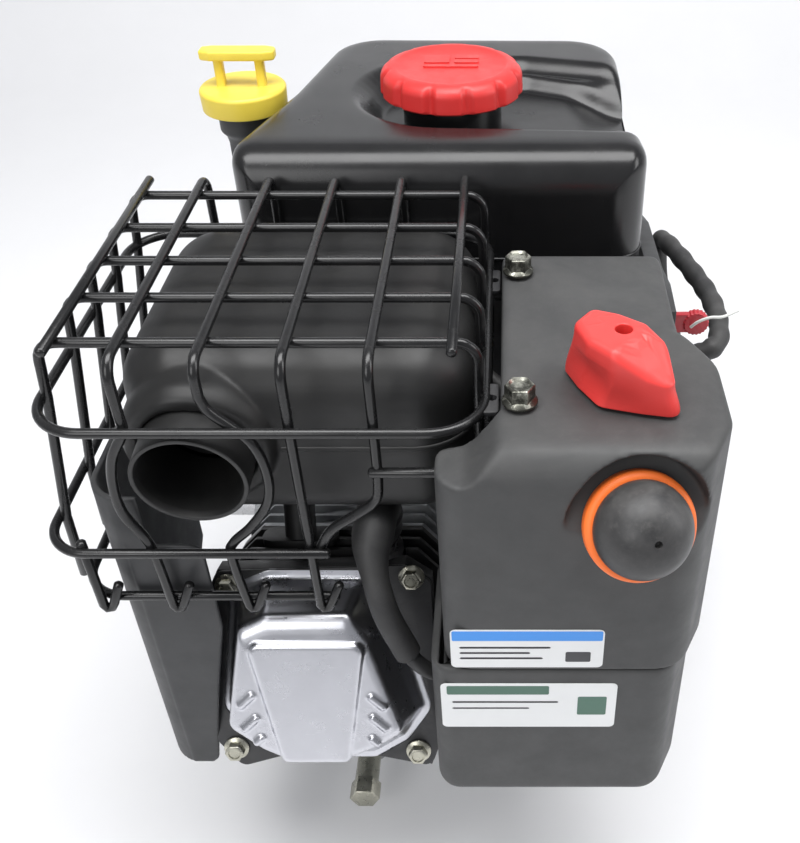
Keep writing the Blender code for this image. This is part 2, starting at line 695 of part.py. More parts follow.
def make_flywheel():
    profile = [(10.4, FLYWHEEL_LEFT), (26, FLYWHEEL_LEFT), (26, 84), (70, 84),
               (70, FLYWHEEL_LEFT + 4), (FLYWHEEL_RADIUS, FLYWHEEL_LEFT + 4),
               (FLYWHEEL_RADIUS, FLYWHEEL_RIGHT), (10.4, FLYWHEEL_RIGHT)]
    iron = material("cast_iron", (0.2, 0.2, 0.21), 0.55, 0.8)
    add_part("flywheel", turned("flywheel", profile, 28), iron, CRANK)
    low = FLYWHEEL_RIGHT + GAP
    fan = add_part("cooling_fan", ring("cooling_fan", 18, 78, low, low + 3, 28), matte_black(), CRANK)
    blade_count = 10
    for i in range(blade_count):
        turn = CRANK @ Matrix.Rotation(math.tau * i / blade_count, 4, "Z")
        blade = block("fan_blade", (40, -1.2, low + 1), (77, 1.2, FAN_RIGHT))
        join(fan, blade, turn @ shift(4, 6) @ Matrix.Rotation(math.radians(-14), 4, "Z"))
    hexagon = prism("flywheel_nut", circle(12, 6), low, low + 10)
    nut = add_part("flywheel_nut", hexagon, zinc(), CRANK)
    cut(nut, cylinder("nut_thread", 7.4, 80, 120, 20), CRANK)


def make_ignition_coil():
    """Laminated coil above the flywheel's rim."""
    coil = add_part("ignition_coil", block("coil_core", (70, -24, 188.5), (88, 24, 198)), steel())
    join(coil, block("coil_body", (67, -16, 196), (91, 16, 214)))


def make_blower_housing():
    """Fan shroud: a round shell with a tower that carries the tank's right side."""
    scroll = cylinder("blower_scroll", HOUSING_RADIUS, HOUSING_LEFT, HOUSING_RIGHT, 32)
    housing = add_part("blower_housing", scroll, black_paint(), CRANK)
    tower = ((HOUSING_LEFT, -34, 150), (HOUSING_RIGHT, 88, HOUSING_TOP))
    join(housing, block("blower_tower", *tower))
    left, right = HOUSING_LEFT - 5, HOUSING_RIGHT - 3
    cut(housing, cylinder("blower_hollow", HOUSING_RADIUS - 3, left, right, 32), CRANK)
    cut(housing, block("tower_hollow", (left, -31, 148), (right, 85, HOUSING_TOP - 3)))
    cut(housing, cylinder("air_intake", 66, HOUSING_RIGHT - 10, HOUSING_RIGHT + 5, 28), CRANK)
    cut(housing, cylinder("lead_hole", 7, 26, 45, 12), front_frame(79, 0, 203))


def make_recoil_starter():
    """Starter cover with its hub post, pulley, rope and grip."""
    left = HOUSING_RIGHT + GAP
    profile = [(RECOIL_RADIUS + 4, left), (RECOIL_RADIUS + 4, left + 3), (RECOIL_RADIUS, left + 4),
               (RECOIL_RADIUS - 6, RECOIL_RIGHT - 4), (RECOIL_RADIUS - 14, RECOIL_RIGHT),
               (0, RECOIL_RIGHT), (0, left + 6), (8, left + 6), (8, RECOIL_RIGHT - 3),
               (RECOIL_RADIUS - 15, RECOIL_RIGHT - 3), (RECOIL_RADIUS - 9, RECOIL_RIGHT - 6),
               (RECOIL_RADIUS - 3, left)]
    cover = add_part("recoil_cover", turned("recoil_cover", profile, 32), black_paint(), CRANK)
    slot_count = 8
    for i in range(slot_count):
        turn = CRANK @ Matrix.Rotation(math.tau * i / slot_count, 4, "Z")
        cut(cover, block("air_slot", (30, -6, RECOIL_RIGHT - 12), (58, 6, RECOIL_RIGHT + 5)), turn)
    cut(cover, cylinder("rope_hole", 4, -30, 30, 12), aimed_frame(ROPE_EXIT, PULL_DIRECTION))
    groove = [(8.4, 148), (50, 148), (50, 150), (42, 151.5), (42, 155.5), (50, 157),
              (50, 159), (8.4, 159)]
    add_part("recoil_pulley", turned("recoil_pulley", groove, 24), matte_black(), CRANK)
    rope_start = Vector(ROPE_EXIT)
    along = Vector(PULL_DIRECTION).normalized()
    rope = [rope_start + along * d for d in (1, 20, 40, 60)]
    nylon = material("rope", (0.7, 0.7, 0.68), 0.9)
    add_part("starter_rope", tube("starter_rope", rope, 2, 8), nylon)
    make_recoil_handle(rope_start + along * 66)


def make_recoil_handle(centre):
    """D-shaped grip: a bowed bar, and a straight bar that holds the rope."""
    outer = smooth_route([
        (171, 40, 266), (172.5, 36, 273), (178, 14, 276), (184.5, -10, 276), (189, -32, 276),
        (190, -54, 276), (187.5, -72, 274), (180, -76, 270), (173, -67, 263),
    ], 2)
    handle = add_part("recoil_handle", tube("recoil_handle", outer, 5.2, 8), black_rubber())
    inner = smooth_route([
        (173, -67, 263), (171, -48, 252), (centre.x - 4, -14, centre.z), (171, 22, 253), (171, 40, 266),
    ], 2)
    join(handle, tube("handle_bar", inner, 5.2, 8))


# ------------------------------------------------------------------- fuel


def make_fuel_tank():
    outline = rounded_outline(TANK_OUTLINE, TANK_CORNERS)
    shell = soft_block("fuel_tank", outline, TANK_BOTTOM, TANK_TOP, 14, TANK_ROUND)
    tank = add_part("fuel_tank", shell, gloss_black())
    well = rounded_outline(WELL_OUTLINE, WELL_CORNERS)
    cut(tank, prism("filler_well", well, TANK_TOP - 16, TANK_TOP + 10))
    neck = shift(*CAP_CENTRE)
    join(tank, cylinder("filler_neck", 25, TANK_TOP - 22, NECK_TOP, 24), neck)
    outlet = cylinder("fuel_outlet", 3.4, TANK_BOTTOM - 5, TANK_BOTTOM + 10, 10)
    cut(tank, outlet, shift(*VALVE_CENTRE))
    inner = grown(outline, -TANK_WALL)
    floor, ceiling = TANK_BOTTOM + TANK_WALL, TANK_TOP - 19
    cut(tank, soft_block("tank_hollow", inner, floor, ceiling, 10, 6, 2))
    cut(tank, cylinder("neck_bore", 21, TANK_TOP - 40, NECK_TOP + 5, 24), neck)


def make_fuel_cap():
    neck = shift(*CAP_CENTRE)
    gasket = ring("cap_gasket", 18, 25, NECK_TOP + GAP, NECK_TOP + 2.3, 28)
    add_part("cap_gasket", gasket, black_rubber(), neck)
    scallops = 12
    outline = []
    for i in range(scallops):
        base = 360 * i / scallops
        outline += circle(CAP_RADIUS, 3, (0, 0), base, 18)
        outline += circle(CAP_RADIUS - 1.8, 2, (0, 0), base + 22, 4)
    rings = [at_height(outline, CAP_LOW), at_height(outline, CAP_HIGH - 3),
             at_height(grown(outline, -4), CAP_HIGH)]
    cap = add_part("fuel_cap", loft("fuel_cap", rings), red_plastic(), neck)
    skirt = [(0, CAP_LOW - 5), (31, CAP_LOW - 5), (31, NECK_TOP + 2.6), (0, NECK_TOP + 2.6)]
    cut(cap, turned("cap_hollow", skirt, 28), neck)


def make_fuel_plumbing():
    """Shut-off valve under the tank and the hose to the carburettor bowl."""
    x, y = VALVE_CENTRE
    top = TANK_BOTTOM - GAP
    valve = add_part("fuel_valve", cylinder("fuel_valve", 6.5, 256, top, 16), brass(), shift(x, y))
    join(valve, cylinder("valve_spigot", 3, 0, 14, 10), front_frame(x, y, 262))
    cut(valve, cylinder("valve_bore", 3, 270, 290, 10), shift(x, y))
    route = [(x, y - 14.4, 262)] + smooth_route([
        (x, y - 20, 262), (66, -62, 252), (86, -80, 242), (97, -106, 228),
        (108, -132, 203), (BOWL_X, -158, 181),
    ], 2) + [(BOWL_X, CARB_Y + 19.5, 181)]
    add_part("fuel_line", tube("fuel_line", route, 4.2, 8), black_rubber())


# ------------------------------------------------------ carburettor group


def make_carburetor():
    aluminium = cast_aluminium()
    low, high = (CARB_X[0], CARB_Y - 17, CARB_Z - 17), (CARB_X[1], CARB_Y + 17, CARB_Z + 17)
    body = block("carburetor", low, high)
    carb = add_part("carburetor", body, aluminium)
    join(carb, cylinder("float_bowl", 19, 164, 200, 24), shift(BOWL_X, CARB_Y))
    cut(carb, cylinder("carb_bore", 11, 60, 150, 20), side_frame(0, CARB_Y, CARB_Z))
    for name, x in (("throttle", THROTTLE_X), ("choke", CHOKE_X)):
        cut(carb, cylinder(name + "_shaft_hole", 3.4, 200, 240, 12), shift(x, CARB_Y))
    make_butterfly("choke_shaft", CHOKE_X, CHOKE_SHAFT_TOP)
    make_butterfly("throttle_shaft", THROTTLE_X, THROTTLE_SHAFT_TOP)
    port = cylinder_point(50.4, VALVE_Y, PORT_Z)
    manifold_route = rounded_route([
        port, (64, port.y, port.z), (75, CARB_Y, CARB_Z), (CARB_X[0] - GAP, CARB_Y, CARB_Z),
    ], 12, 3)
    pipe = tube("intake_manifold", manifold_route, 10.3, 12, inner=8)
    add_part("intake_manifold", pipe, aluminium)


def make_butterfly(name, x, top):
    """A vertical shaft through the carburettor bore, with a round plate that stands open."""
    shaft = add_part(name, cylinder(name, 3, CARB_Z - 12, top, 14), brass(), shift(x, CARB_Y))
    plate = cylinder(name + "_plate", 9.6, -0.7, 0.7, 20)
    join(shaft, plate, front_frame(x, CARB_Y, CARB_Z))
    lever = block(name + "_lever", (-2.5, -3, CARB_Z + 18.5), (14, 3, CARB_Z + 20.5))
    join(shaft, lever, shift(x, CARB_Y))


def make_snow_hood():
    """Cover over the carburettor, with the primer pocket at its front right corner."""
    outline = rounded_outline(HOOD_OUTLINE, HOOD_CORNERS)
    shape = soft_block("snow_hood", outline, HOOD_BOTTOM, DECK_HEIGHT, 0, 3.9, 2)
    hood = add_part("snow_hood", shape, matte_black())
    cut(hood, block("corner_step", (40, -260, 321), (80, -200, 350)))
    levels = ((-232, -215, 200), (-232, -215, 285), (-206, -200, 318), (-200, -195, 332.5))
    rings = [
        at_height([(61, front), (147, front), (147, -80), (84, -80), (84, step), (61, step)], height)
        for front, step, height in levels
    ]
    cut(hood, loft("hood_hollow", rings))
    cut(hood, cylinder("primer_pocket", 27, -4, 60, 28), primer_frame())
    cut(hood, cylinder("primer_socket", 9, -12, 20, 16), primer_frame())
    cut(hood, cylinder("choke_hole", 4, 320, 350, 14), shift(CHOKE_X, CARB_Y))
    for y in HOOD_BOLT_Y.values():
        cut(hood, cylinder("hood_bolt_hole", 3.6, 316, 350, 10), shift(HOOD_BOLT_X, y))


def primer_frame():
    yaw, rise = math.radians(PRIMER_YAW), math.radians(PRIMER_ELEVATION)
    out = (math.sin(yaw) * math.cos(rise), -math.cos(yaw) * math.cos(rise), math.sin(rise))
    return aimed_frame(PRIMER_CENTRE, out)


def make_carb_shroud():
    """Lower cover in front of the carburettor, open at its top and rear."""
    outline = rounded_outline(SHROUD_OUTLINE, SHROUD_CORNERS)
    shape = soft_block("carb_shroud", outline, SHROUD_BOTTOM, HOOD_BOTTOM - GAP, 3.9, 0, 2)
    shroud = add_part("carb_shroud", shape, matte_black())
    cut(shroud, prism("shroud_hollow", SHROUD_INSIDE, SHROUD_BOTTOM + 3, HOOD_BOTTOM + 20))
    cut(shroud, cylinder("lead_notch", 14, 40, 58, 12), side_frame(0, -203, 184))
    cut(shroud, block("manifold_gap", (45, -178, 150), (70, -130, 240)))


def make_choke_knob():
    plateau = rounded_outline(KNOB_OUTLINE, KNOB_CORNERS, 2)
    x, y = KNOB_CENTRE
    top = [(px - x, py - y) for px, py in plateau]
    foot = [(px * 1.09, py * 1.09) for px, py in top]
    rings = [at_height(foot, DECK_HEIGHT + GAP), at_height(foot, DECK_HEIGHT + 9),
             at_height(top, 359), at_height(grown(top, -2.5), 362)]
    knob = add_part("choke_knob", loft("choke_knob", rings), red_plastic(), shift(x, y))
    cut(knob, cylinder("knob_hole", 3.2, 350, 370, 12), shift(x, y))
    socket = cylinder("knob_socket", 3.4, 330, CHOKE_SHAFT_TOP + 1, 14)
    cut(knob, socket, shift(CHOKE_X, CARB_Y))


def make_primer():
    frame = primer_frame()
    add_part("primer_ring", ring("primer_ring", 16, PRIMER_RADIUS, -3.6, 3, 28), orange_rubber(), frame)
    dome = [(0, 3.4), (17.5, 3.4), (18, 6), (17, 12), (13.5, 17.5), (8, 20.5), (0, 21.5)]
    bulb = add_part("primer_bulb", turned("primer_bulb", dome, 24), black_rubber(), frame)
    join(bulb, cylinder("primer_stem", 7, -9, 8, 16), frame)


def make_hood_bolts():
    for place, y in HOOD_BOLT_Y.items():
        name = "hood_bolt_" + place
        frame = shift(HOOD_BOLT_X, y)
        bolt = add_part(name, cylinder(name, 3, 322, 340, 10), zinc(), frame)
        join(bolt, cylinder("bolt_flange", 6.6, DECK_HEIGHT + GAP, DECK_HEIGHT + 2, 16), frame)
        join(bolt, prism("bolt_hex", circle(5.6, 6), DECK_HEIGHT + 1, DECK_HEIGHT + 8), frame)


def make_switch_panel():
    """Panel beside the tank that holds the ignition key in its outer face."""
    sheet = prism("switch_panel", PANEL_OUTLINE, PANEL_LEFT, PANEL_RIGHT)
    panel = add_part("switch_panel", sheet, matte_black(), side_frame())
    join(panel, block("panel_foot", (HOUSING_RIGHT + GAP, -30, 247), (156, 40, 262)))
    low = (PANEL_RIGHT - 5, KEY_Y - 2.5, KEY_Z - 6)
    high = (PANEL_RIGHT + 2, KEY_Y + 2.5, KEY_Z + 6)
    cut(panel, block("key_slot", low, high))
    low = (PANEL_RIGHT - 4.4, KEY_Y - 1.6, KEY_Z - 5)
    high = (PANEL_RIGHT + 8, KEY_Y + 1.6, KEY_Z + 5)
    key = add_part("ignition_key", block("ignition_key", low, high), red_plastic())
    grip = front_frame(PANEL_RIGHT + 11, KEY_Y, KEY_Z)
    join(key, cylinder("key_grip", 6.2, -2.2, 2.2, 20), grip)


# --------------------------------------------------------------- exhaust


def make_muffler():
    low, high = MUFFLER_LOW, MUFFLER_HIGH
    corners = [(low[0], low[1]), (high[0], low[1]), (high[0], high[1]), (low[0], high[1])]
    outline = rounded_outline(corners, 24, 3)
    black = material("muffler_black", (0.02, 0.02, 0.02), 0.5)
    shell = soft_block("muffler", outline, low[2], high[2], 14, MUFFLER_ROUND)
    muffler = add_part("muffler", shell, black)
    inner = grown(outline, -2)
    hollow = soft_block("muffler_hollow", inner, low[2] + 2, high[2] - 2, 12, MUFFLER_ROUND - 2)
    cut(muffler, hollow)
    outlet = outlet_frame()
    cut(muffler, cylinder("outlet_hole", OUTLET_OUTER + 0.5, -50, 8, 20), outlet)
    cut(muffler, cylinder("inlet_hole", 8.2, 90, 130, 12), exhaust_frame())
    tube_profile = [(OUTLET_INNER, -6), (OUTLET_OUTER, -6), (OUTLET_OUTER, OUTLET_LENGTH),
                    (OUTLET_INNER + 0.7, OUTLET_LENGTH), (OUTLET_INNER, OUTLET_LENGTH - 3)]
    add_part("muffler_outlet", turned("muffler_outlet", tube_profile, 20), black, outlet)
    bare = material("exhaust_steel", (0.3, 0.28, 0.26), 0.5, 0.9)
    pipe = ring("exhaust_pipe", 5.6, 7.6, 46, 116, 12)
    pipe = add_part("exhaust_pipe", pipe, bare, exhaust_frame())
    plate = rounded_outline([(-18, -9), (18, -9), (18, 9), (-18, 9)], 6, 2)
    join(pipe, prism("exhaust_flange", plate, 45.6, 49), exhaust_frame())
    cut(pipe, cylinder("exhaust_flange_bore", 5.6, 40, 60, 12), exhaust_frame())


def outlet_frame():
    droop = math.radians(OUTLET_DROOP)
    front = MUFFLER_LOW[1] - 0.5
    return aimed_frame((OUTLET_X, front, OUTLET_Z), (0, -math.cos(droop), -math.sin(droop)))


def intake_frame():
    """From the intake port, out through the head's side towards the carburettor."""
    return CYLINDER @ shift(0, VALVE_Y, PORT_Z) @ Matrix.Rotation(math.radians(90), 4, "Y")


def exhaust_frame():
    """From the exhaust port, up along the head's upper side."""
    turn = Matrix.Rotation(math.radians(-90), 4, "X")
    return CYLINDER @ shift(VALVE_X["exhaust"], 0, PORT_Z) @ turn


def make_muffler_guard():
    """Welded wire cage around the muffler: rings outside, upright and crossing wires inside."""
    black = material("guard_black", (0.015, 0.015, 0.016), 0.35)
    front, rear = GUARD_FRONT - WELD, GUARD_REAR - WELD
    corners = [(-92, front), (74.8, front), (74.8, rear), (-92, rear)]
    route = rounded_route([(x, y, GUARD_UPPER) for x, y in corners], 20, 3, closed=True)
    guard = add_part("muffler_guard", tube("muffler_guard", route, WIRE_RADIUS, 6, True), black)
    for i, foot in enumerate(long_wire_feet()):
        x = foot[0][0]
        corners = [(x, GUARD_REAR, GUARD_UPPER - 4), (x, GUARD_REAR, GUARD_TOP)]
        corners += [(x, GUARD_FRONT, GUARD_TOP)] + [(px, GUARD_FRONT, pz) for px, pz in foot]
        join(guard, tube(f"long_wire_{i}", rounded_route(corners, 5, 2), WIRE_RADIUS, 5))
        if i < 3:
            end = foot[-1][0]
            hook = [(end, GUARD_FRONT, GUARD_BOTTOM), (end + 7, GUARD_FRONT, GUARD_BOTTOM + 13)]
            join(guard, tube(f"wire_hook_{i}", hook, WIRE_RADIUS, 5))
    for i, x in enumerate((-80.5, 63.5)):
        run = [(x, -62, GUARD_TOP), (x, -202, GUARD_TOP)]
        join(guard, tube(f"edge_wire_{i}", run, WIRE_RADIUS, 6))
    for i, y in enumerate((-72, -103, -131.5, -160, -191)):
        corners = [
            (-99.5, y, GUARD_BOTTOM), (-98.5, y, GUARD_LOWER), (-89.5, y, GUARD_UPPER),
            (-87, y, GUARD_TOP - WELD), (72.3, y, GUARD_TOP - WELD), (72.3, y, GUARD_SIDE - 3),
        ]
        join(guard, tube(f"cross_wire_{i}", rounded_route(corners, 6, 1), WIRE_RADIUS, 5))
    left = -98.5 - WELD
    side_front = front + 1.6  # clear of the hood's left edge
    runs = {
        "lower_ring": [(0, rear), (left, rear), (left, front), (12, front)],
        "bottom_ring": [(0, rear), (left + 2 * WELD, rear), (left + 2 * WELD, front + 2 * WELD),
                        (12, front + 2 * WELD)],
        "side_ring": [(32, side_front), (74.8, side_front), (74.8, -66)],
    }
    heights = {"lower_ring": GUARD_LOWER, "bottom_ring": GUARD_BOTTOM + 2, "side_ring": GUARD_SIDE}
    for name, run in runs.items():
        corners = [(x, y, heights[name]) for x, y in run]
        join(guard, tube(name, rounded_route(corners, 16, 3), WIRE_RADIUS, 6))
    for i, y in enumerate((-106, -192)):
        join(guard, block(f"tab_{i}", (73, y - 9, GUARD_UPPER - 1), (79.8, y + 9, GUARD_UPPER + 1)))


def long_wire_feet():
    """(X, Z) points down the guard's front of each long wire, bowed around the outlet."""
    return [
        [(-56, 328), (-65.5, 306), (-65.5, 284), (-58.5, 264), (-56.5, GUARD_BOTTOM)],
        [(-26, 336), (-6.5, 318), (-6.5, 289), (-27.5, 266), (-25, GUARD_BOTTOM)],
        [(5, GUARD_BOTTOM)],
        [(34.5, 292), (22, 276), (8, GUARD_LOWER)],
    ]


def make_cylinder_shroud():
    """Cooling cowl at the left of the cylinder: a bent plate whose front narrows downwards."""
    outer = [(-84, -203.6), (-62, -203.6), (-62, -100), (-84, -100)]
    shell = soft_block("cylinder_shroud", rounded_outline(outer, [16, 1, 1, 3], 4), 112, 288, 0, 0)
    shroud = add_part("cylinder_shroud", shell, matte_black())
    inner = [(-81.5, -201.1), (-40, -201.1), (-40, -80), (-81.5, -80)]
    cut(shroud, prism("shroud_inside", rounded_outline(inner, [14, 1, 1, 3], 4), 100, 300))
    cut(shroud, prism("rear_slope", [(-188, 105), (-90, 105), (-90, 175)], -95, -75), side_frame())
    plate = [(-66, 112.2), (-61, 112.2), (-60, 130), (-51, 160), (-50, 195), (-40, 212),
             (-40, 262), (-66, 262)]
    join(shroud, prism("front_plate", plate, 201.2, 203.5), front_frame())


# ------------------------------------------------------------------- oil


def make_oil_filler():
    black = matte_black()
    filler = ring("oil_fill_tube", 8, 11.5, 187.3, 352, 20)
    filler = add_part("oil_fill_tube", filler, black, shift(OIL_X, OIL_Y))
    join(filler, ring("filler_collar", 8, 15, 340, 352, 20), shift(OIL_X, OIL_Y))
    profile = [(0, 352.3), (22.7, 352.3), (22.7, 362.6), (21.3, 364), (0, 364)]
    frame = shift(OIL_X, OIL_Y)
    cap = add_part("oil_cap", turned("oil_cap", profile, 24), yellow_plastic(), frame)
    for side in (-10.7, 10.7):
        join(cap, block("cap_post", (side - 2.3, -3, 363), (side + 2.3, 3, 379)), frame)
    join(cap, block("cap_handle", (-19.5, -5.5, 377.8), (19.5, 5.5, 383)), frame)
    join(cap, cylinder("cap_plug", 7.2, 335, 353, 16), frame)
    join(cap, block("dipstick", (-3, -1, 194), (3, 1, 340)), frame)


def make_tank_bracket():
    """Sheet-metal saddle between the crankcase and the tank."""
    plate = block("tank_bracket", (-22, -42, 277.5), (38, 70, TANK_BOTTOM - GAP))
    bracket = add_part("tank_bracket", plate, black_paint())
    for name, y in (("front_leg", -38), ("rear_leg", 54)):
        join(bracket, block(name, (-18, y, 186.3), (34, y + 3, 279)))
        join(bracket, block(name + "_foot", (-18, y - 6, 186.3), (34, y + 3, 189.3)))


def main():
    for old in list(bpy.data.objects):
        bpy.data.objects.remove(old, do_unlink=True)
    make_crankcase()
    make_crankcase_cover()
    make_bearings()
    make_drain_plug()
    make_crankshaft()
    make_rod_and_piston()
    make_camshaft()
    make_cylinder_head()
    make_spark_plug()
    make_plug_lead()
    make_valve_cover()
    make_valve_train()
    make_flywheel()
    make_ignition_coil()
    make_blower_housing()
    make_recoil_starter()
    make_fuel_tank()
    make_fuel_cap()
    make_fuel_plumbing()
    make_carburetor()
    make_snow_hood()
    make_carb_shroud()
    make_choke_knob()
    make_primer()
    make_hood_bolts()
    make_switch_panel()
    make_muffler()
    make_muffler_guard()
    make_cylinder_shroud()
    make_oil_filler()
    make_tank_bracket()


main()
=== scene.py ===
import json
import math

import bmesh
import bpy
import numpy as np
from mathutils import Matrix, Vector

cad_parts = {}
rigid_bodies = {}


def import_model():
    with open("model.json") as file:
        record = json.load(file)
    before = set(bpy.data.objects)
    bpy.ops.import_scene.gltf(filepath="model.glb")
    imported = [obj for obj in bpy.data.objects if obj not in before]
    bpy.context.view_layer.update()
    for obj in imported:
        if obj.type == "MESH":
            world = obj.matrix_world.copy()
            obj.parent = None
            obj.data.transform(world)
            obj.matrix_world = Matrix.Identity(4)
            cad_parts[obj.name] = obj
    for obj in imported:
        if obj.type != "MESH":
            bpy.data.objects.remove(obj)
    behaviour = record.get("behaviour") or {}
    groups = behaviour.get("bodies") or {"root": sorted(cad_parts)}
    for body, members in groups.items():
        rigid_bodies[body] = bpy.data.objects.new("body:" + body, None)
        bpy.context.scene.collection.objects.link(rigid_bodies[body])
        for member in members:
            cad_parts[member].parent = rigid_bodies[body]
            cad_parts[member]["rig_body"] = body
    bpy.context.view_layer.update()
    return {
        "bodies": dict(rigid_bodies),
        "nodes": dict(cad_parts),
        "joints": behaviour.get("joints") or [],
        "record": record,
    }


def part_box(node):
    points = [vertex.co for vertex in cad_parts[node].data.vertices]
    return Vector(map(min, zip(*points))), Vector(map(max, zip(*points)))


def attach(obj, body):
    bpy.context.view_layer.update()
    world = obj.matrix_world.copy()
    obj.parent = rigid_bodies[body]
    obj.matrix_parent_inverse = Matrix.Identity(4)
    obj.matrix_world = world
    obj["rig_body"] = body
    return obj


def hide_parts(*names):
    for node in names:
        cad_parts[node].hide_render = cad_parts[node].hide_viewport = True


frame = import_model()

MM = 0.001
OUTLINE_SPACING = 2.0
BEVEL_SEGMENTS = 2
CRANK_HEIGHT, CYLINDER_TILT = 105.0, 20.0
CRANK = Matrix.Translation((0, 0, CRANK_HEIGHT * MM)) @ Matrix(
    ((0, 0, 1, 0), (1, 0, 0, 0), (0, 1, 0, 0), (0, 0, 0, 1))
)
CYLINDER = Matrix.Translation((0, 0, CRANK_HEIGHT * MM)) @ Matrix.Rotation(
    math.radians(90 - CYLINDER_TILT), 4, "X"
)

# ---------------------------------------------------------------- helpers


def shift(x=0.0, y=0.0, z=0.0):
    return Matrix.Translation((x * MM, y * MM, z * MM))


def turn(angle, axis):
    return Matrix.Rotation(math.radians(angle), 4, axis)


def side_frame(x=0.0, y=0.0, z=0.0):
    """Local x is world Y, local y is world Z, local z is world X."""
    return shift(x, y, z) @ CRANK.to_3x3().to_4x4()


def front_frame(x=0.0, y=0.0, z=0.0):
    """Local x is world X, local y is world Z, local z points forward, along -Y."""
    return shift(x, y, z) @ turn(90, "X")


def aimed_frame(point, direction):
    return shift(*point) @ Vector(direction).to_track_quat("Z", "Y").to_matrix().to_4x4()


def new_mesh(name, shape):
    bmesh.ops.recalc_face_normals(shape, faces=shape.faces)
    mesh = bpy.data.meshes.new(name)
    shape.to_mesh(mesh)
    shape.free()
    return mesh


def loft(rings, looped=False):
    """A surface through rings with the same number of points, closed at its ends or on itself."""
    shape = bmesh.new()
    rows = [[shape.verts.new(Vector(p) * MM) for p in ring] for ring in rings]
    pairs = list(zip(rows, rows[1:]))
    if looped:
        pairs.append((rows[-1], rows[0]))
    else:
        shape.faces.new(rows[0])
        shape.faces.new(rows[-1])
    for lower, upper in pairs:
        count = len(lower)
        for i in range(count):
            j = (i + 1) % count
            shape.faces.new((lower[i], lower[j], upper[j], upper[i]))
    return new_mesh("loft", shape)


def at_height(outline, height):
    return [(x, y, height) for x, y in outline]


def prism(outline, low, high):
    return loft([at_height(outline, low), at_height(outline, high)])


def rectangle(low, high):
    return [(low[0], low[1]), (high[0], low[1]), (high[0], high[1]), (low[0], high[1])]


def block(low, high):
    return prism(rectangle(low, high), low[2], high[2])


def hexagon_outline(radius):
    angles = [math.radians(60.0 * i) for i in range(6)]
    return [(radius * math.cos(a), radius * math.sin(a)) for a in angles]


def turned(profile, segments=64):
    """A closed profile of (radius, height) points turned about the local Z axis."""
    shape = bmesh.new()
    columns = []
    for i in range(segments):
        a = math.tau * i / segments
        points = [Vector((r * math.cos(a), r * math.sin(a), h)) for r, h in profile]
        columns.append([shape.verts.new(point * MM) for point in points])
    count = len(profile)
    for i in range(segments):
        here, there = columns[i], columns[(i + 1) % segments]
        for k in range(count):
            m = (k + 1) % count
            if profile[k][0] or profile[m][0]:
                shape.faces.new((here[k], here[m], there[m], there[k]))
    bmesh.ops.remove_doubles(shape, verts=shape.verts, dist=1e-7)
    return new_mesh("turned", shape)


def cylinder(radius, low, high, segments=48):
    return turned([(0, low), (radius, low), (radius, high), (0, high)], segments)


def soft_profile(points, radius, steps=4):
    """A closed profile with its corners rounded, except those on the axis."""
    result = []
    count = len(points)
    for i, corner in enumerate(points):
        here = Vector(corner)
        before = Vector(points[i - 1]) - here
        after = Vector(points[(i + 1) % count]) - here
        if corner[0] == 0:
            result.append(corner)
            continue
        reach = min(radius, before.length * 0.45, after.length * 0.45)
        a, b = here + before.normalized() * reach, here + after.normalized() * reach
        for k in range(steps + 1):
            t = k / steps
            p = a * (1 - t) ** 2 + here * 2 * t * (1 - t) + b * t * t
            result.append((p.x, p.y))
    return result


def smooth_route(points, per_span):
    """A curve through all the points (Catmull-Rom)."""
    points = [Vector(p) for p in points]
    padded = [2 * points[0] - points[1], *points, 2 * points[-1] - points[-2]]
    route = []
    for a, b, c, d in zip(padded, padded[1:], padded[2:], padded[3:]):
        for i in range(per_span):
            t = i / per_span
            route.append(0.5 * (2 * b + (c - a) * t + (2 * a - 5 * b + 4 * c - d) * t * t
                                + (3 * b - a - 3 * c + d) * t ** 3))
    return [*route, points[-1]]


def rounded_route(corners, radius, steps, closed=False):
    """A path of straight runs joined by arcs."""
    points = [Vector(p) for p in corners]
    count = len(points)
    route = []
    for i, corner in enumerate(points):
        if not closed and i in (0, count - 1):
            route.append(corner)
            continue
        to_last = points[i - 1] - corner
        to_next = points[(i + 1) % count] - corner
        before, after = to_last.normalized(), to_next.normalized()
        half = before.angle(after) / 2
        if half > math.radians(89):
            route.append(corner)
            continue
        reach = min(radius / math.tan(half), to_last.length * 0.48, to_next.length * 0.48)
        size = reach * math.tan(half)
        centre = corner + (before + after).normalized() * (size / math.sin(half))
        start = (corner + before * reach - centre).normalized()
        end = (corner + after * reach - centre).normalized()
        route += [centre + start.slerp(end, k / steps) * size for k in range(steps + 1)]
    return route


def tube(route, radius, sides, closed=False, radii=None, round_ends=False):
    """A rod along a route. The list radii gives each point its own radius."""
    points = [Vector(p) for p in route]
    count = len(points)
    tangents = []
    for i, point in enumerate(points):
        before = points[i - 1] if closed or i else point
        after = points[(i + 1) % count] if closed or i < count - 1 else point
        tangents.append((after - before).normalized())
    normal = tangents[0].orthogonal().normalized()
    rings = []
    for i, (point, tangent) in enumerate(zip(points, tangents)):
        if i:
            normal = (tangents[i - 1].rotation_difference(tangent) @ normal).normalized()
        across = tangent.cross(normal)
        size = radii[i] if radii else radius
        spokes = [normal * math.cos(math.tau * k / sides) + across * math.sin(math.tau * k / sides)
                  for k in range(sides)]
        rings.append([point + s * size for s in spokes])
        if round_ends and i in (0, count - 1):
            sign = -1 if i == 0 else 1
            angles = (math.radians(40), math.radians(75))
            caps = [[point + tangent * sign * size * 0.5 * math.sin(a) + s * size * math.cos(a)
                     for s in spokes] for a in angles]
            rings = [caps[1], caps[0], rings[0]] if i == 0 else rings + caps
    return loft(rings, looped=closed)


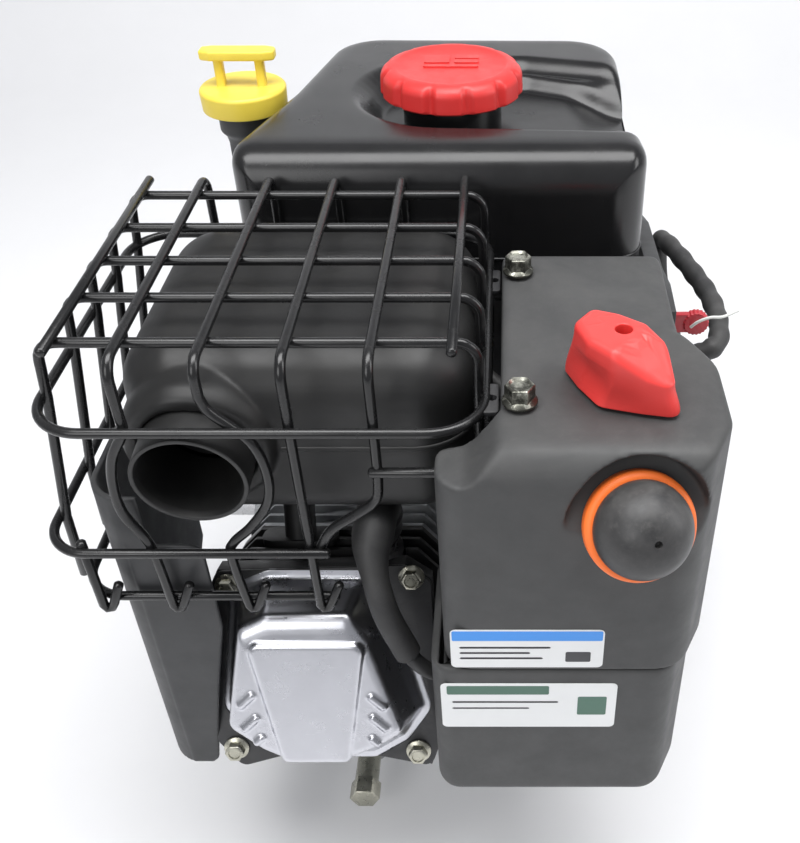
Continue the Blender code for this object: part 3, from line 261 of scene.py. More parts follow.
def rounded_outline(corners, radii, steps=8):
    """A closed outline with its corners rounded, by one radius or by a list of them."""
    if not isinstance(radii, (list, tuple)):
        radii = [radii] * len(corners)
    points = [Vector(c) for c in corners]
    outline = []
    for i, corner in enumerate(points):
        before = (points[i - 1] - corner).normalized()
        after = (points[(i + 1) % len(points)] - corner).normalized()
        half = before.angle(after) / 2
        centre = corner + (before + after).normalized() * (radii[i] / math.sin(half))
        reach = radii[i] / math.tan(half)
        start, end = corner + before * reach - centre, corner + after * reach - centre
        for k in range(steps + 1):
            a = -start.angle_signed(end) * k / steps
            outline.append((centre.x + start.x * math.cos(a) - start.y * math.sin(a),
                            centre.y + start.x * math.sin(a) + start.y * math.cos(a)))
    return outline


def even_outline(outline, spacing):
    """The same outline with points no further apart than the spacing."""
    result = []
    for i, point in enumerate(outline):
        a, b = Vector(point), Vector(outline[(i + 1) % len(outline)])
        pieces = max(1, math.ceil((b - a).length / spacing))
        result += [tuple(a.lerp(b, k / pieces)) for k in range(pieces)]
    return result


def grown(outline, amount):
    """The outline moved outwards by an amount, point by point."""
    result = []
    for i, point in enumerate(outline):
        here = Vector(point)
        before = (here - Vector(outline[i - 1])).normalized()
        after = (Vector(outline[(i + 1) % len(outline)]) - here).normalized()
        normal = Vector((before.y + after.y, -before.x - after.x))
        scale = amount * 2 / max(normal.length_squared, 0.4)
        result.append((here.x + normal.x * scale, here.y + normal.y * scale))
    return result


def edge_rings(outline, radius, edge, inward, steps):
    """Rings that round the edge between a side and a flat end at height edge, from the end outwards."""
    made = []
    for k in range(steps + 1):
        a = math.radians(90 * k / steps)
        moved = grown(outline, -radius * (1 - math.sin(a)))
        made.append(at_height(moved, edge + inward * radius * (1 - math.cos(a))))
    return made


def soft_block(outline, low, high, low_round, high_round, steps=6):
    """An upright block with its lower and upper edges rounded."""
    bottom = edge_rings(outline, low_round, low, 1, steps) if low_round else [at_height(outline, low)]
    top = edge_rings(outline, high_round, high, -1, steps) if high_round else [at_height(outline, high)]
    return loft(bottom + top[::-1])


def distance(outline, x, y):
    """Signed distance from a point to a closed outline, negative inside."""
    a = np.array(outline, float)
    b = np.roll(a, -1, axis=0)
    p = np.array((x, y), float)
    ab, ap = b - a, p - a
    t = np.clip((ap * ab).sum(1) / (ab * ab).sum(1), 0, 1)
    nearest = np.sqrt((((a + ab * t[:, None]) - p) ** 2).sum(1)).min()
    rise = np.where(b[:, 1] == a[:, 1], 1e-9, b[:, 1] - a[:, 1])
    meets = (b[:, 0] - a[:, 0]) * (y - a[:, 1]) / rise + a[:, 0]
    crosses = ((a[:, 1] > y) != (b[:, 1] > y)) & (x < meets)
    return -nearest if crosses.sum() % 2 else nearest


def ease(t):
    """Smooth step from 0 to 1."""
    t = min(max(t, 0.0), 1.0)
    return t * t * (3 - 2 * t)


def sculpted_block(outline, low, high, low_round, high_round, centre, height, rings, steps):
    """A soft block whose top follows height(x, y, z)."""
    outline = even_outline(outline, OUTLINE_SPACING)
    cx, cy = centre
    side = high - high_round - low - low_round
    bottom = edge_rings(outline, low_round, low, 1, steps) if low_round else [at_height(outline, low)]
    top = edge_rings(outline, high_round, high, -1, steps)[::-1]
    middle = [at_height(outline, low + low_round + side * k / 6) for k in range(1, 6)]
    inner = top[-1]
    for k in range(1, rings):
        t = 1 - k / rings
        top.append([(cx + (x - cx) * t, cy + (y - cy) * t, high) for x, y, _ in inner])
    top = [[(x, y, height(x, y, z)) for x, y, z in row] for row in top]
    return loft(bottom + middle + top)


def apply_modifiers(piece):
    bpy.context.view_layer.update()
    if not piece.modifiers:
        return
    evaluated = piece.evaluated_get(bpy.context.evaluated_depsgraph_get())
    final = bpy.data.meshes.new_from_object(evaluated)
    piece.modifiers.clear()
    piece.data = final


def soften(piece, voxel, times):
    """Rounds every edge of a moulded piece slightly, as a mould does."""
    modifier = piece.modifiers.new("voxels", "REMESH")
    modifier.mode, modifier.voxel_size = "VOXEL", voxel * MM
    modifier = piece.modifiers.new("smoothing", "SMOOTH")
    modifier.factor, modifier.iterations = 0.5, times
    look = piece.data.materials[0]
    apply_modifiers(piece)
    piece.data.materials.clear()
    piece.data.materials.append(look)
    piece.data.shade_smooth()


def make(name, mesh, finish, frame=None, body="engine", replaces=(), slot=None, sharp=35, cuts=(), joins=(),
         bevel=0.0, bevel_angle=32):
    """Builds one visible piece from meshes and their frames, and rides it on its body.

    Joins and cuts are meshes, each alone or paired with its frame."""
    piece = bpy.data.objects.new(name, mesh)
    bpy.context.scene.collection.objects.link(piece)
    piece.matrix_world = frame or Matrix()
    helpers = []
    for operation, shapes in (("UNION", joins), ("DIFFERENCE", cuts)):
        for shape in shapes:
            other, place = shape if isinstance(shape, tuple) else (shape, None)
            helper = bpy.data.objects.new("helper", other)
            bpy.context.scene.collection.objects.link(helper)
            helper.matrix_world = place or Matrix()
            helpers.append(helper)
            modifier = piece.modifiers.new(operation, "BOOLEAN")
            modifier.operation, modifier.object, modifier.solver = operation, helper, "EXACT"
    if bevel:
        modifier = piece.modifiers.new("edges", "BEVEL")
        modifier.width, modifier.segments = bevel * MM, BEVEL_SEGMENTS
        modifier.limit_method, modifier.angle_limit = "ANGLE", math.radians(bevel_angle)
        modifier.miter_outer = "MITER_ARC"
    apply_modifiers(piece)
    for helper in helpers:
        bpy.data.objects.remove(helper, do_unlink=True)
    piece.data.transform(piece.matrix_world)
    piece.matrix_world = Matrix()
    piece.data.name = name
    piece.data.materials.clear()
    piece.data.materials.append(finish)
    piece.data.shade_smooth()
    piece.data.set_sharp_from_angle(angle=math.radians(sharp))
    if replaces:
        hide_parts(*replaces)
        if slot is None:
            slot = SLOTS[replaces[0]]
    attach(piece, body)
    return piece


def merged(meshes):
    """Several meshes, given with their frames, as one mesh in the world frame."""
    shape = bmesh.new()
    for item in meshes:
        mesh, place = item if isinstance(item, tuple) else (item, Matrix())
        mesh.transform(place)
        shape.from_mesh(mesh)
    mesh = bpy.data.meshes.new("merged")
    shape.to_mesh(mesh)
    shape.free()
    return mesh


SLOTS = {part["node"]: part["material_slot"] for part in frame["record"]["subparts"]}

# -------------------------------------------------------------- materials


class Tree:
    """Shorthand for building a material's nodes."""

    def __init__(self, name):
        self.material = bpy.data.materials.new(name)
        self.material.use_nodes = True
        self.tree = self.material.node_tree
        self.shader = self.tree.nodes["Principled BSDF"]
        self.place = self.add("ShaderNodeTexCoord").outputs["Object"]

    def add(self, kind, **settings):
        made = self.tree.nodes.new(kind)
        for key, value in settings.items():
            setattr(made, key, value)
        return made

    def link(self, source, target):
        self.tree.links.new(source, target)

    def noise(self, scale, detail=4.0, rough=0.6, stretch=None, distortion=0.0):
        source = self.place
        if stretch:
            mapping = self.add("ShaderNodeMapping")
            mapping.inputs["Scale"].default_value = stretch
            self.link(source, mapping.inputs["Vector"])
            source = mapping.outputs["Vector"]
        made = self.add("ShaderNodeTexNoise")
        made.inputs["Scale"].default_value = scale
        made.inputs["Detail"].default_value = detail
        made.inputs["Roughness"].default_value = rough
        made.inputs["Distortion"].default_value = distortion
        self.link(source, made.inputs["Vector"])
        return made.outputs["Fac"]

    def spread(self, value, low, high, to_low=0.0, to_high=1.0):
        made = self.add("ShaderNodeMapRange")
        for key, number in (("From Min", low), ("From Max", high), ("To Min", to_low), ("To Max", to_high)):
            made.inputs[key].default_value = number
        self.link(value, made.inputs["Value"])
        return made.outputs["Result"]

    def maths(self, operation, a, b=None):
        made = self.add("ShaderNodeMath", operation=operation)
        for i, value in enumerate((a, b)):
            if value is None:
                continue
            if isinstance(value, (int, float)):
                made.inputs[i].default_value = value
            else:
                self.link(value, made.inputs[i])
        return made.outputs[0]

    def mix(self, factor, a, b):
        made = self.add("ShaderNodeMix", data_type="RGBA")
        for socket, value in ((made.inputs[0], factor), (made.inputs[6], a), (made.inputs[7], b)):
            if isinstance(value, (int, float)):
                socket.default_value = value
            elif isinstance(value, tuple):
                socket.default_value = (*value, 1.0)
            else:
                self.link(value, socket)
        return made.outputs[2]

    def bump(self, *layers):
        """Layers of (height, strength, distance in millimetres)."""
        normal = None
        for height, strength, size in layers:
            made = self.add("ShaderNodeBump")
            made.inputs["Strength"].default_value = strength
            made.inputs["Distance"].default_value = size * MM
            self.link(height, made.inputs["Height"])
            if normal:
                self.link(normal, made.inputs["Normal"])
            normal = made.outputs["Normal"]
        self.link(normal, self.shader.inputs["Normal"])


def scaled(colour, amount):
    return tuple(min(1.0, c * amount) for c in colour)


def finish(name, colour, rough, metal=0.0, vary=0.12, patch=18.0, grain=(900.0, 0.02), rough_vary=0.08,
           dust=0.0, wear=0.0, scratch=0.0, specular=0.5, lumps=None, streak=None,
           dust_colour=(0.35, 0.34, 0.32), wear_colour=None):
    """A procedural surface: patches of colour, fine grain, dust on top, worn edges and scratches.

    Grain and lumps are each a noise scale and a depth in millimetres."""
    t = Tree(name)
    patches = t.noise(patch, 5, 0.65)
    base = t.mix(t.spread(patches, 0.3, 0.7), scaled(colour, 1 - vary), scaled(colour, 1 + vary))
    roughness = t.spread(t.noise(patch * 3.1, 6, 0.7), 0.3, 0.7, rough - rough_vary, rough + rough_vary)
    if dust:
        up = t.add("ShaderNodeSeparateXYZ")
        t.link(t.add("ShaderNodeNewGeometry").outputs["Normal"], up.inputs[0])
        lying = t.spread(up.outputs["Z"], -0.2, 1.0, 0.25, 1.0)
        specks = t.spread(t.noise(220, 8, 0.8), 0.52, 0.72)
        cloud = t.spread(t.noise(27, 5, 0.7, distortion=0.6), 0.38, 0.75)
        amount = t.maths("MULTIPLY", t.maths("MULTIPLY", lying, dust),
                         t.maths("ADD", t.maths("MULTIPLY", specks, 0.5), cloud))
        base = t.mix(amount, base, dust_colour)
        roughness = t.maths("ADD", roughness, t.maths("MULTIPLY", amount, 0.5))
    if wear:
        point = t.add("ShaderNodeNewGeometry").outputs["Pointiness"]
        edges = t.spread(point, 0.54, 0.62, 0.0, 1.0)
        broken = t.maths("MULTIPLY", edges, t.spread(t.noise(120, 6, 0.8), 0.45, 0.6))
        base = t.mix(t.maths("MULTIPLY", broken, wear), base, wear_colour or scaled(colour, 2.5))
    if scratch:
        lines = t.noise(60, 8, 0.75, stretch=(1.0, 14.0, 6.0), distortion=0.8)
        fine = t.spread(lines, 0.62, 0.66)
        base = t.mix(t.maths("MULTIPLY", fine, scratch), base, scaled(colour, 1.8))
        roughness = t.maths("ADD", roughness, t.maths("MULTIPLY", fine, scratch * 0.2))
    t.link(base, t.shader.inputs["Base Color"])
    t.link(roughness, t.shader.inputs["Roughness"])
    t.shader.inputs["Metallic"].default_value = metal
    t.shader.inputs["Specular IOR Level"].default_value = specular
    layers = [(t.noise(grain[0], 3, 0.6), 0.35, grain[1])]
    if lumps:
        layers.append((t.noise(lumps[0], 3, 0.5), 0.4, lumps[1]))
    if streak:
        layers.append((t.noise(streak[0], 6, 0.7, stretch=streak[1]), 0.3, streak[2]))
    t.bump(*layers)
    return t.material


M = {
    "tank": finish("tank_plastic", (0.009, 0.009, 0.0095), 0.24, vary=0.2, patch=14, grain=(500, 0.012),
                   dust=0.012, scratch=0.06, specular=0.45, rough_vary=0.04, lumps=(45, 0.03)),
    "hood": finish("grained_plastic", (0.044, 0.0445, 0.045), 0.58, vary=0.1, patch=22, grain=(1500, 0.06),
                   dust=0.07, scratch=0.1, wear=0.25),
    "plain": finish("moulded_plastic", (0.028, 0.029, 0.031), 0.5, vary=0.15, grain=(1100, 0.04), dust=0.06,
                    wear=0.2),
    "muffler": finish("heat_paint", (0.009, 0.009, 0.0092), 0.48, vary=0.2, patch=12, grain=(1300, 0.05),
                      dust=0.05, scratch=0.3, dust_colour=(0.16, 0.15, 0.13), lumps=(30, 0.06)),
    "guard": finish("wire_coating", (0.007, 0.007, 0.0075), 0.25, vary=0.2, grain=(700, 0.03), dust=0.015,
                    wear=0.06, lumps=(160, 0.06)),
    "paint": finish("black_paint", (0.018, 0.018, 0.02), 0.38, vary=0.15, grain=(900, 0.03), dust=0.1,
                    wear=0.3, wear_colour=(0.2, 0.2, 0.2), lumps=(40, 0.05)),
    "red": finish("red_plastic", (0.62, 0.028, 0.026), 0.42, vary=0.07, patch=25, grain=(1200, 0.05),
                  dust=0.04, wear=0.15, wear_colour=(0.8, 0.2, 0.17), dust_colour=(0.8, 0.4, 0.37)),
    "knob": finish("knob_plastic", (0.72, 0.045, 0.04), 0.4, vary=0.05, patch=25, grain=(1200, 0.04),
                   dust=0.03, wear=0.1, wear_colour=(0.85, 0.25, 0.2), dust_colour=(0.8, 0.4, 0.37)),
    "dark_red": finish("key_plastic", (0.4, 0.02, 0.03), 0.4, vary=0.1, patch=40, grain=(1200, 0.05),
                       dust=0.04, dust_colour=(0.6, 0.3, 0.3)),
    # near black for the cylinder head and exhaust pipe: partly dark paint, partly painted shade for the dark
    # space between the muffler and the valve cover
    "head": finish("dark_paint_and_painted_shade", (0.012, 0.012, 0.0125), 0.5, vary=0.2, patch=30, grain=(380, 0.18),
                   dust=0.03, lumps=(60, 0.15)),
    "yellow": finish("yellow_plastic", (0.80, 0.62, 0.07), 0.42, vary=0.06, grain=(1000, 0.04), dust=0.05,
                     dust_colour=(0.7, 0.62, 0.35)),
    "orange": finish("orange_rubber", (0.85, 0.16, 0.02), 0.5, vary=0.08, grain=(900, 0.05), dust=0.06,
                     dust_colour=(0.8, 0.45, 0.25)),
    "rubber": finish("black_rubber", (0.02, 0.02, 0.021), 0.55, vary=0.2, grain=(700, 0.06), dust=0.1),
    "bulb": finish("primer_rubber", (0.022, 0.022, 0.023), 0.42, vary=0.3, patch=40, grain=(500, 0.08),
                   dust=0.35, dust_colour=(0.22, 0.21, 0.2), scratch=0.3, lumps=(80, 0.1)),
    "cover": finish("pressed_steel", (0.56, 0.565, 0.6), 0.3, metal=1.0, vary=0.05, patch=30,
                    grain=(260, 0.05), rough_vary=0.06, scratch=0.15, lumps=(90, 0.06)),
    "steel": finish("bright_steel", (0.5, 0.5, 0.51), 0.3, metal=1.0, vary=0.1, grain=(600, 0.03),
                    rough_vary=0.1, scratch=0.4, streak=(200, (1, 1, 20), 0.02)),
    "zinc": finish("zinc_plating", (0.44, 0.43, 0.36), 0.3, metal=0.95, vary=0.18, patch=90,
                   grain=(500, 0.04), wear=0.3, wear_colour=(0.75, 0.75, 0.7)),
    "dark_zinc": finish("olive_plating", (0.1, 0.1, 0.085), 0.3, metal=0.9, vary=0.2, patch=90,
                        grain=(500, 0.04), wear=0.8, wear_colour=(0.6, 0.6, 0.52)),
    "cast": finish("cast_aluminium", (0.36, 0.37, 0.38), 0.5, metal=0.85, vary=0.15, patch=30,
                   grain=(380, 0.22), dust=0.08, wear=0.4, lumps=(60, 0.2)),
    "iron": finish("cast_iron", (0.14, 0.14, 0.15), 0.55, metal=0.8, vary=0.2, grain=(400, 0.15)),
    "brass": finish("brass", (0.55, 0.4, 0.17), 0.3, metal=1.0, vary=0.12, grain=(500, 0.03)),
    "burnt": finish("burnt_steel", (0.2, 0.16, 0.13), 0.5, metal=0.8, vary=0.35, patch=50, grain=(400, 0.1)),
    "rope": finish("braided_rope", (0.62, 0.62, 0.58), 0.85, vary=0.15, grain=(700, 0.5)),
    "gasket": finish("gasket_fibre", (0.12, 0.11, 0.1), 0.8, vary=0.2, grain=(600, 0.1)),
    # near-black matte finish for the disc in the outlet bore: soot, and painted shade inside the pipe
    "soot_and_painted_shade": finish("soot_and_painted_shade", (0.004, 0.004, 0.004), 0.9, vary=0.3, grain=(300, 0.2)),
    "label": finish("label_paper", (0.75, 0.76, 0.76), 0.35, vary=0.03, grain=(800, 0.02), dust=0.03),
    "label_blue": finish("label_blue", (0.045, 0.27, 0.75), 0.35, vary=0.04, grain=(800, 0.02)),
    "label_ink": finish("label_ink", (0.03, 0.03, 0.035), 0.4, vary=0.1, grain=(800, 0.02)),
    "label_green": finish("label_green", (0.05, 0.13, 0.09), 0.35, vary=0.06, grain=(800, 0.02)),
    "nylon": finish("white_nylon", (0.62, 0.63, 0.6), 0.45, vary=0.06, grain=(700, 0.03)),
}
NODE_FINISH = {
    "cast_aluminium": "cast", "bright_steel": "steel", "zinc_plating": "zinc", "cast_iron": "iron",
    "exhaust_steel": "burnt", "black_paint": "paint", "muffler_black": "muffler", "guard_black": "guard",
    "brass": "brass", "matte_black_plastic": "plain", "gloss_black_plastic": "tank", "red_plastic": "red",
    "yellow_plastic": "yellow", "orange_rubber": "orange", "black_rubber": "rubber", "gasket_paper": "gasket",
    "rope": "rope",
}
for node, thing in frame["nodes"].items():
    for place in thing.material_slots:
        place.material = M[NODE_FINISH[SLOTS[node]]]

# ------------------------------------------------------------------- fuel

TANK_TOP, TANK_BOTTOM = 367.0, 281.0
TANK_OUTLINE = [(-54, -55), (151, -55), (145, 8), (145, 114), (-14, 116), (-30, 30)]
TANK_CORNERS = [18, 18, 40, 30, 30, 60]
TANK_ROUND, TANK_FRONT_ROLL = 14, 23
CAP_CENTRE, NECK_TOP, CAP_RADIUS = (54.0, 24.0), 365.2, 36.5
CAP_LOW, CAP_HIGH = 365.5, 379.5
CAP_PADS = ((-14, 2, 13, 11), (1.5, 2, 12.5, 4.6), (1.5, 8.2, 12.5, 4.8), (-14, -4, 28, 3.2))
VALVE_CENTRE = (51.0, -30.0)


def softer(a, b, width):
    """The lower of two heights, blended over a width."""
    t = max(width - abs(a - b), 0.0) / width
    return min(a, b) - t * t * width / 4


def fuel_tank():
    """Blow-moulded tank with a two-step well round the neck that runs out on the right."""
    outline = rounded_outline(TANK_OUTLINE, TANK_CORNERS, 14)
    upper = rounded_outline([(7, -16), (200, -24), (200, 53), (135, 64), (92, 75), (7, 72)],
                            [44, 10, 10, 30, 20, 44], 12)
    lower = rounded_outline([(14, -8), (200, -17), (200, 36), (135, 46), (92, 64), (14, 62)],
                            [34, 10, 10, 20, 20, 34], 12)

    def height(x, y, z):
        step = 9 * ease(0.5 - distance(upper, x, y) / 12)
        floor = 7 * ease(0.5 - distance(lower, x, y) / 9)
        low_edge = 9 * ease((x - 112) / 36) * ease((y + 20) / 12) * ease((60 - y) / 14)
        front = TANK_TOP - rolled(y - TANK_OUTLINE[0][1], TANK_FRONT_ROLL)
        return softer(softer(z, front, 3), TANK_TOP - step - floor - low_edge, 9)

    shell = sculpted_block(outline, TANK_BOTTOM, TANK_TOP, 14, TANK_ROUND, CAP_CENTRE, height, 84, 12)
    seam = soft_block(even_outline(grown(outline, 0.5), 6), 309.8, 311.6, 0.8, 0.8, 3)
    make("tank_shell", shell, M["tank"], replaces=("fuel_tank",), sharp=180)
    make("tank_seam", seam, M["tank"], slot="gloss_black_plastic")
    neck = soft_profile([(21, 346), (25.5, 346), (25.5, NECK_TOP), (21, NECK_TOP)], 0.8, 3)
    make("filler_neck", turned(neck, 96), M["tank"], shift(*CAP_CENTRE), slot="gloss_black_plastic")


def fuel_cap():
    """Ribbed cap with raised plain pads on top."""
    lobes, count, place = 12, 288, shift(*CAP_CENTRE)

    def outline(radius, depth):
        points = []
        for i in range(count):
            groove = max(0.0, 1 - abs(((i / count * lobes) % 1) - 0.5) / 0.2)
            points.append((radius - depth * ease(groove), math.tau * i / count))
        return [(r * math.cos(a), r * math.sin(a)) for r, a in points]

    wide = CAP_RADIUS
    rings = [at_height(outline(31.2, 0), CAP_LOW), at_height(outline(wide - 0.8, 1.4), CAP_LOW + 0.2),
             at_height(outline(wide, 2.2), CAP_LOW + 1)]
    rings += [at_height(outline(wide - 0.3 * k / 5, 2.4), CAP_LOW + 2 + 6 * k / 5) for k in range(6)]
    for k in range(1, 11):
        a = math.radians(90 * k / 10)
        rings.append(at_height(outline(wide - 7.3 + 7 * math.cos(a), 2.4 * math.cos(a) ** 1.5),
                               CAP_HIGH - 6 + 5.8 * math.sin(a)))
    rings += [at_height(outline(28.2, 0), CAP_HIGH - 0.3), at_height(outline(27.4, 0), CAP_HIGH - 0.9),
              at_height(outline(12, 0), CAP_HIGH - 1), at_height(outline(1, 0), CAP_HIGH - 1)]
    hollow = turned([(0, CAP_LOW - 5), (31, CAP_LOW - 5), (31, NECK_TOP + 2.6), (0, NECK_TOP + 2.6)], 96)
    pads = [prism(rounded_outline(rectangle((x, y), (x + w, y + h)), 1.0, 3), CAP_HIGH - 2, CAP_HIGH - 0.3)
            for x, y, w, h in CAP_PADS]
    make("fuel_cap_shell", loft(rings), M["red"], place, "fuel_cap", ("fuel_cap",), sharp=40,
         cuts=[(hollow, place)], joins=[(pad, place) for pad in pads])


def fuel_plumbing():
    x, y = VALVE_CENTRE
    body = turned(soft_profile([(0, 256), (6.5, 256), (6.5, 262), (5, 264), (6.5, 266), (6.5, 280.7),
                                (0, 280.7)], 0.6))
    spigot = turned(soft_profile([(0, 0), (3, 0), (3, 9), (3.5, 11), (3, 14), (0, 14)], 0.4))
    make("fuel_valve_body", body, M["brass"], shift(x, y), replaces=("fuel_valve",),
         joins=[(spigot, front_frame(x, y, 262))])
    route = [(x, y - 14.4, 262)] + smooth_route([
        (x, y - 20, 262), (66, -62, 252), (86, -80, 242), (97, -106, 228), (108, -132, 203), (112, -158, 181),
    ], 10) + [(112, -170.5, 181)]
    make("fuel_hose", tube(route, 4.2, 24, round_ends=True), M["rubber"], replaces=("fuel_line",))
    for i, place in enumerate((5, 48)):
        here, there = Vector(route[place]), Vector(route[place + 1])
        band = turned(soft_profile([(4.1, -2.5), (4.9, -2.5), (4.9, 2.5), (4.1, 2.5)], 0.3), 48)
        make(f"hose_clamp_{i}", band, M["zinc"], aimed_frame(here, there - here), slot="zinc_plating")


# ------------------------------------------------------ carburettor group

DECK, HOOD_BOTTOM, SHROUD_BOTTOM = 336.0, 224.5, 136.0
HOOD_OUTLINE = [(57, -236), (152, -236), (164, -212), (164, -178), (152.5, -155), (151, -93),
                (80.5, -93), (80.5, -208), (57, -213)]
HOOD_CORNERS = [12, 16, 16, 14, 14, 4, 4, 6, 6]
SHROUD_OUTLINE = [(51.5, -236), (149, -236), (160, -214), (160, -180), (149, -160), (149, -96),
                  (62, -96), (51.5, -150)]
SHROUD_CORNERS = [10, 12, 16, 12, 12, 9, 9, 10]
CHOKE_X, CARB_Y = 125.0, -190.0
KNOB_CENTRE = (124.0, -195.5)
KNOB_TOP = [(106.5, -190), (110.5, -202), (119.5, -211.5), (131, -212.7), (142.5, -213), (140, -199.5),
            (132.5, -190.5), (123.5, -184), (113.5, -180.3)]
KNOB_FOOT = [(103.8, -183.5), (108.8, -196), (115.5, -207.8), (131, -212), (145.6, -214.8), (142.5, -199),
             (134, -188.5), (124, -182), (110, -178.3)]
KNOB_CORNERS = [4, 6, 6, 8, 4, 8, 8, 8, 4]
HOOD_BOLTS = ((87.5, -111.0), (87.5, -204.0))
PRIMER_CENTRE, PRIMER_ELEVATION, PRIMER_YAW = (130.0, -236.0, 305.0), 30.0, 7.0


def primer_frame():
    yaw, rise = math.radians(PRIMER_YAW), math.radians(PRIMER_ELEVATION)
    out = (math.sin(yaw) * math.cos(rise), -math.cos(yaw) * math.cos(rise), math.sin(rise))
    return aimed_frame(PRIMER_CENTRE, out)


def rolled(depth, radius):
    """How far a surface drops at a depth inside an edge rounded to the radius."""
    inside = min(max(depth, 0.0), radius)
    return radius - math.sqrt(max(radius ** 2 - (radius - inside) ** 2, 0.0))


def snow_hood():
    outline = rounded_outline(HOOD_OUTLINE, HOOD_CORNERS, 8)

    def height(x, y, z):
        front = DECK - rolled(y + 236, 15)
        right = DECK - rolled(164.5 - x - 13 * ease((y + 166) / 14), 7)
        shoulder = DECK - 14 * ease((84 - x) / 18) * ease((-198 - y) / 10)
        return softer(softer(min(z, shoulder), front, 3), right, 3)

    shape = sculpted_block(outline, HOOD_BOTTOM, DECK, 1.2, 3.9, (122, -214), height, 56, 6)
    levels = ((-232, -215, 200), (-232, -215, 285), (-206, -200, 318), (-200, -195, 331.5))
    hollow = loft([at_height([(61, front), (147, front), (147, -80), (84, -80), (84, step), (61, step)], z)
                   for front, step, z in levels])
    pocket = turned([(0, -4), (26.6, -4), (29, 60), (0, 60)], 96)
    cuts = [hollow, (pocket, primer_frame()), (cylinder(9, -12, 20), primer_frame()),
            (cylinder(4, 320, 350), shift(CHOKE_X, CARB_Y))]
    cuts += [(cylinder(3.6, 316, 350), shift(*place)) for place in HOOD_BOLTS]
    hood = make("hood_shell", shape, M["hood"], replaces=("snow_hood",), cuts=cuts, sharp=180)
    soften(hood, 0.9, 6)


def carb_shroud():
    outline = rounded_outline(SHROUD_OUTLINE, SHROUD_CORNERS, 8)
    shape = soft_block(even_outline(outline, 4), SHROUD_BOTTOM, HOOD_BOTTOM - 0.3, 8, 1.0, 8)
    inside = [(55, -232), (144, -232), (155, -212), (155, -182), (145, -162), (145, -85), (40, -85),
              (40, -140), (55, -140)]
    cuts = [prism(inside, SHROUD_BOTTOM + 3, HOOD_BOTTOM + 20),
            (cylinder(14, 40, 58), side_frame(0, -203, 184)),
            block((45, -178, 150), (70, -130, 240))]
    shroud = make("shroud_shell", shape, M["hood"], replaces=("carb_shroud",), cuts=cuts, sharp=180)
    soften(shroud, 0.9, 5)


def choke_knob():
    """Wedge-shaped knob: its sides lean in to a flat top that falls away towards the pointer end."""
    top = rounded_outline(KNOB_TOP, KNOB_CORNERS, 6)
    foot = rounded_outline(KNOB_FOOT, KNOB_CORNERS, 6)
    x, y = KNOB_CENTRE
    top, foot = ([(px - x, py - y) for px, py in outline] for outline in (top, foot))
    low, high = DECK + 0.3, DECK + 25.9

    def sunk(px, py, z):
        """Lowers the pointer end."""
        along = px * 0.64 - py * 0.77
        return (px, py, low + (z - low) * (1 - 0.46 * ease((along - 6) / 17)))

    rings = []
    for k in range(15):
        t = k / 14
        scoop = 2.6 * math.sin(math.pi * min(1.0, t * 1.25)) if t < 0.8 else 0.0
        row = []
        for (ax, ay), (bx, by) in zip(foot, top):
            px, py = ax + (bx - ax) * ease(t), ay + (by - ay) * ease(t)
            pull = scoop * ease((-3 - px) / 6) * ease((2 - py) / 6) / max(math.hypot(px, py), 1)
            row.append(sunk(px * (1 - pull), py * (1 - pull), low + (high - 3.0 - low) * t))
        rings.append(row)
    for a in (15, 30, 45, 60, 75, 90):
        inset = 2.8 * (1 - math.cos(math.radians(a)))
        level = high - 3.0 + 3.0 * math.sin(math.radians(a))
        rings.append([sunk(px, py, level) for px, py in grown(top, -inset)])
    inner = grown(top, -2.8)
    for t in (0.85, 0.7, 0.55, 0.4, 0.25, 0.1):
        rings.append([sunk(px * t, py * t, high) for px, py in inner])
    place = shift(x, y)
    cuts = [(cylinder(3.2, 350, 370), place), (cylinder(3.4, 330, 343), shift(CHOKE_X, CARB_Y))]
    for radius, start, end in ((10.6, -78, 2), (8.8, -66, -14)):
        arc = [(radius * math.cos(math.radians(a)), radius * math.sin(math.radians(a)), high + 0.3)
               for a in range(start, end, 8)]
        cuts.append((tube(arc, 0.6, 10), place))
    mark = smooth_route(at_height([(-13, 2), (-7, 4), (-9, 8), (-2, 9)], high + 0.3), 5)
    cuts.append((tube(mark, 0.5, 10), place))
    knob = make("choke_knob_shell", loft(rings), M["knob"], place, "choke", ("choke_knob",), cuts=cuts,
                sharp=180)
    soften(knob, 0.33, 3)


def primer():
    frame_here = primer_frame()
    lip = soft_profile([(16, -3.6), (20.5, -3.6), (20.5, 1.6), (18.9, 3), (16, 3)], 1.1, 4)
    make("primer_lip", turned(lip, 128), M["orange"], frame_here, replaces=("primer_ring",), sharp=50)
    dome = [(0, -9), (7, -9), (7, 3.4), (17.5, 3.4), (18, 5)]
    for k in range(1, 17):
        a = math.radians(90 * k / 16)
        dome.append((18 * math.cos(a) if k < 16 else 0.0, 5 + 16.4 * math.sin(a)))
    dimple = [(0, 18.5), (1.0, 18.5), (1.5, 22), (0, 22)]
    make("primer_dome", turned(dome, 128), M["bulb"], frame_here, "primer_bulb", ("primer_bulb",), sharp=60,
         cuts=[(turned(dimple, 32), frame_here @ shift(1.5, -1.5))])


def hood_bolts():
    for number, (x, y) in enumerate(HOOD_BOLTS):
        hexagon = soft_block(hexagon_outline(5.6), DECK + 1, DECK + 8, 0, 0.8, 3)
        flange = turned(soft_profile([(0, DECK + 0.3), (6.6, DECK + 0.3), (6.6, DECK + 1.2), (5, DECK + 2.6),
                                      (0, DECK + 2.6)], 0.3))
        shank = cylinder(3, 322, DECK + 1)
        dish = turned([(3.4, DECK + 7.2), (4.2, DECK + 8), (4.2, DECK + 9), (0, DECK + 9), (0, DECK + 7.2)],
                      48)
        name = ("hood_bolt_rear", "hood_bolt_front")[number]
        place = shift(x, y)
        make(name + "_head", flange, M["dark_zinc"], place, replaces=(name,), cuts=[(dish, place)],
             joins=[(hexagon, place), (shank, place)], bevel=0.15)


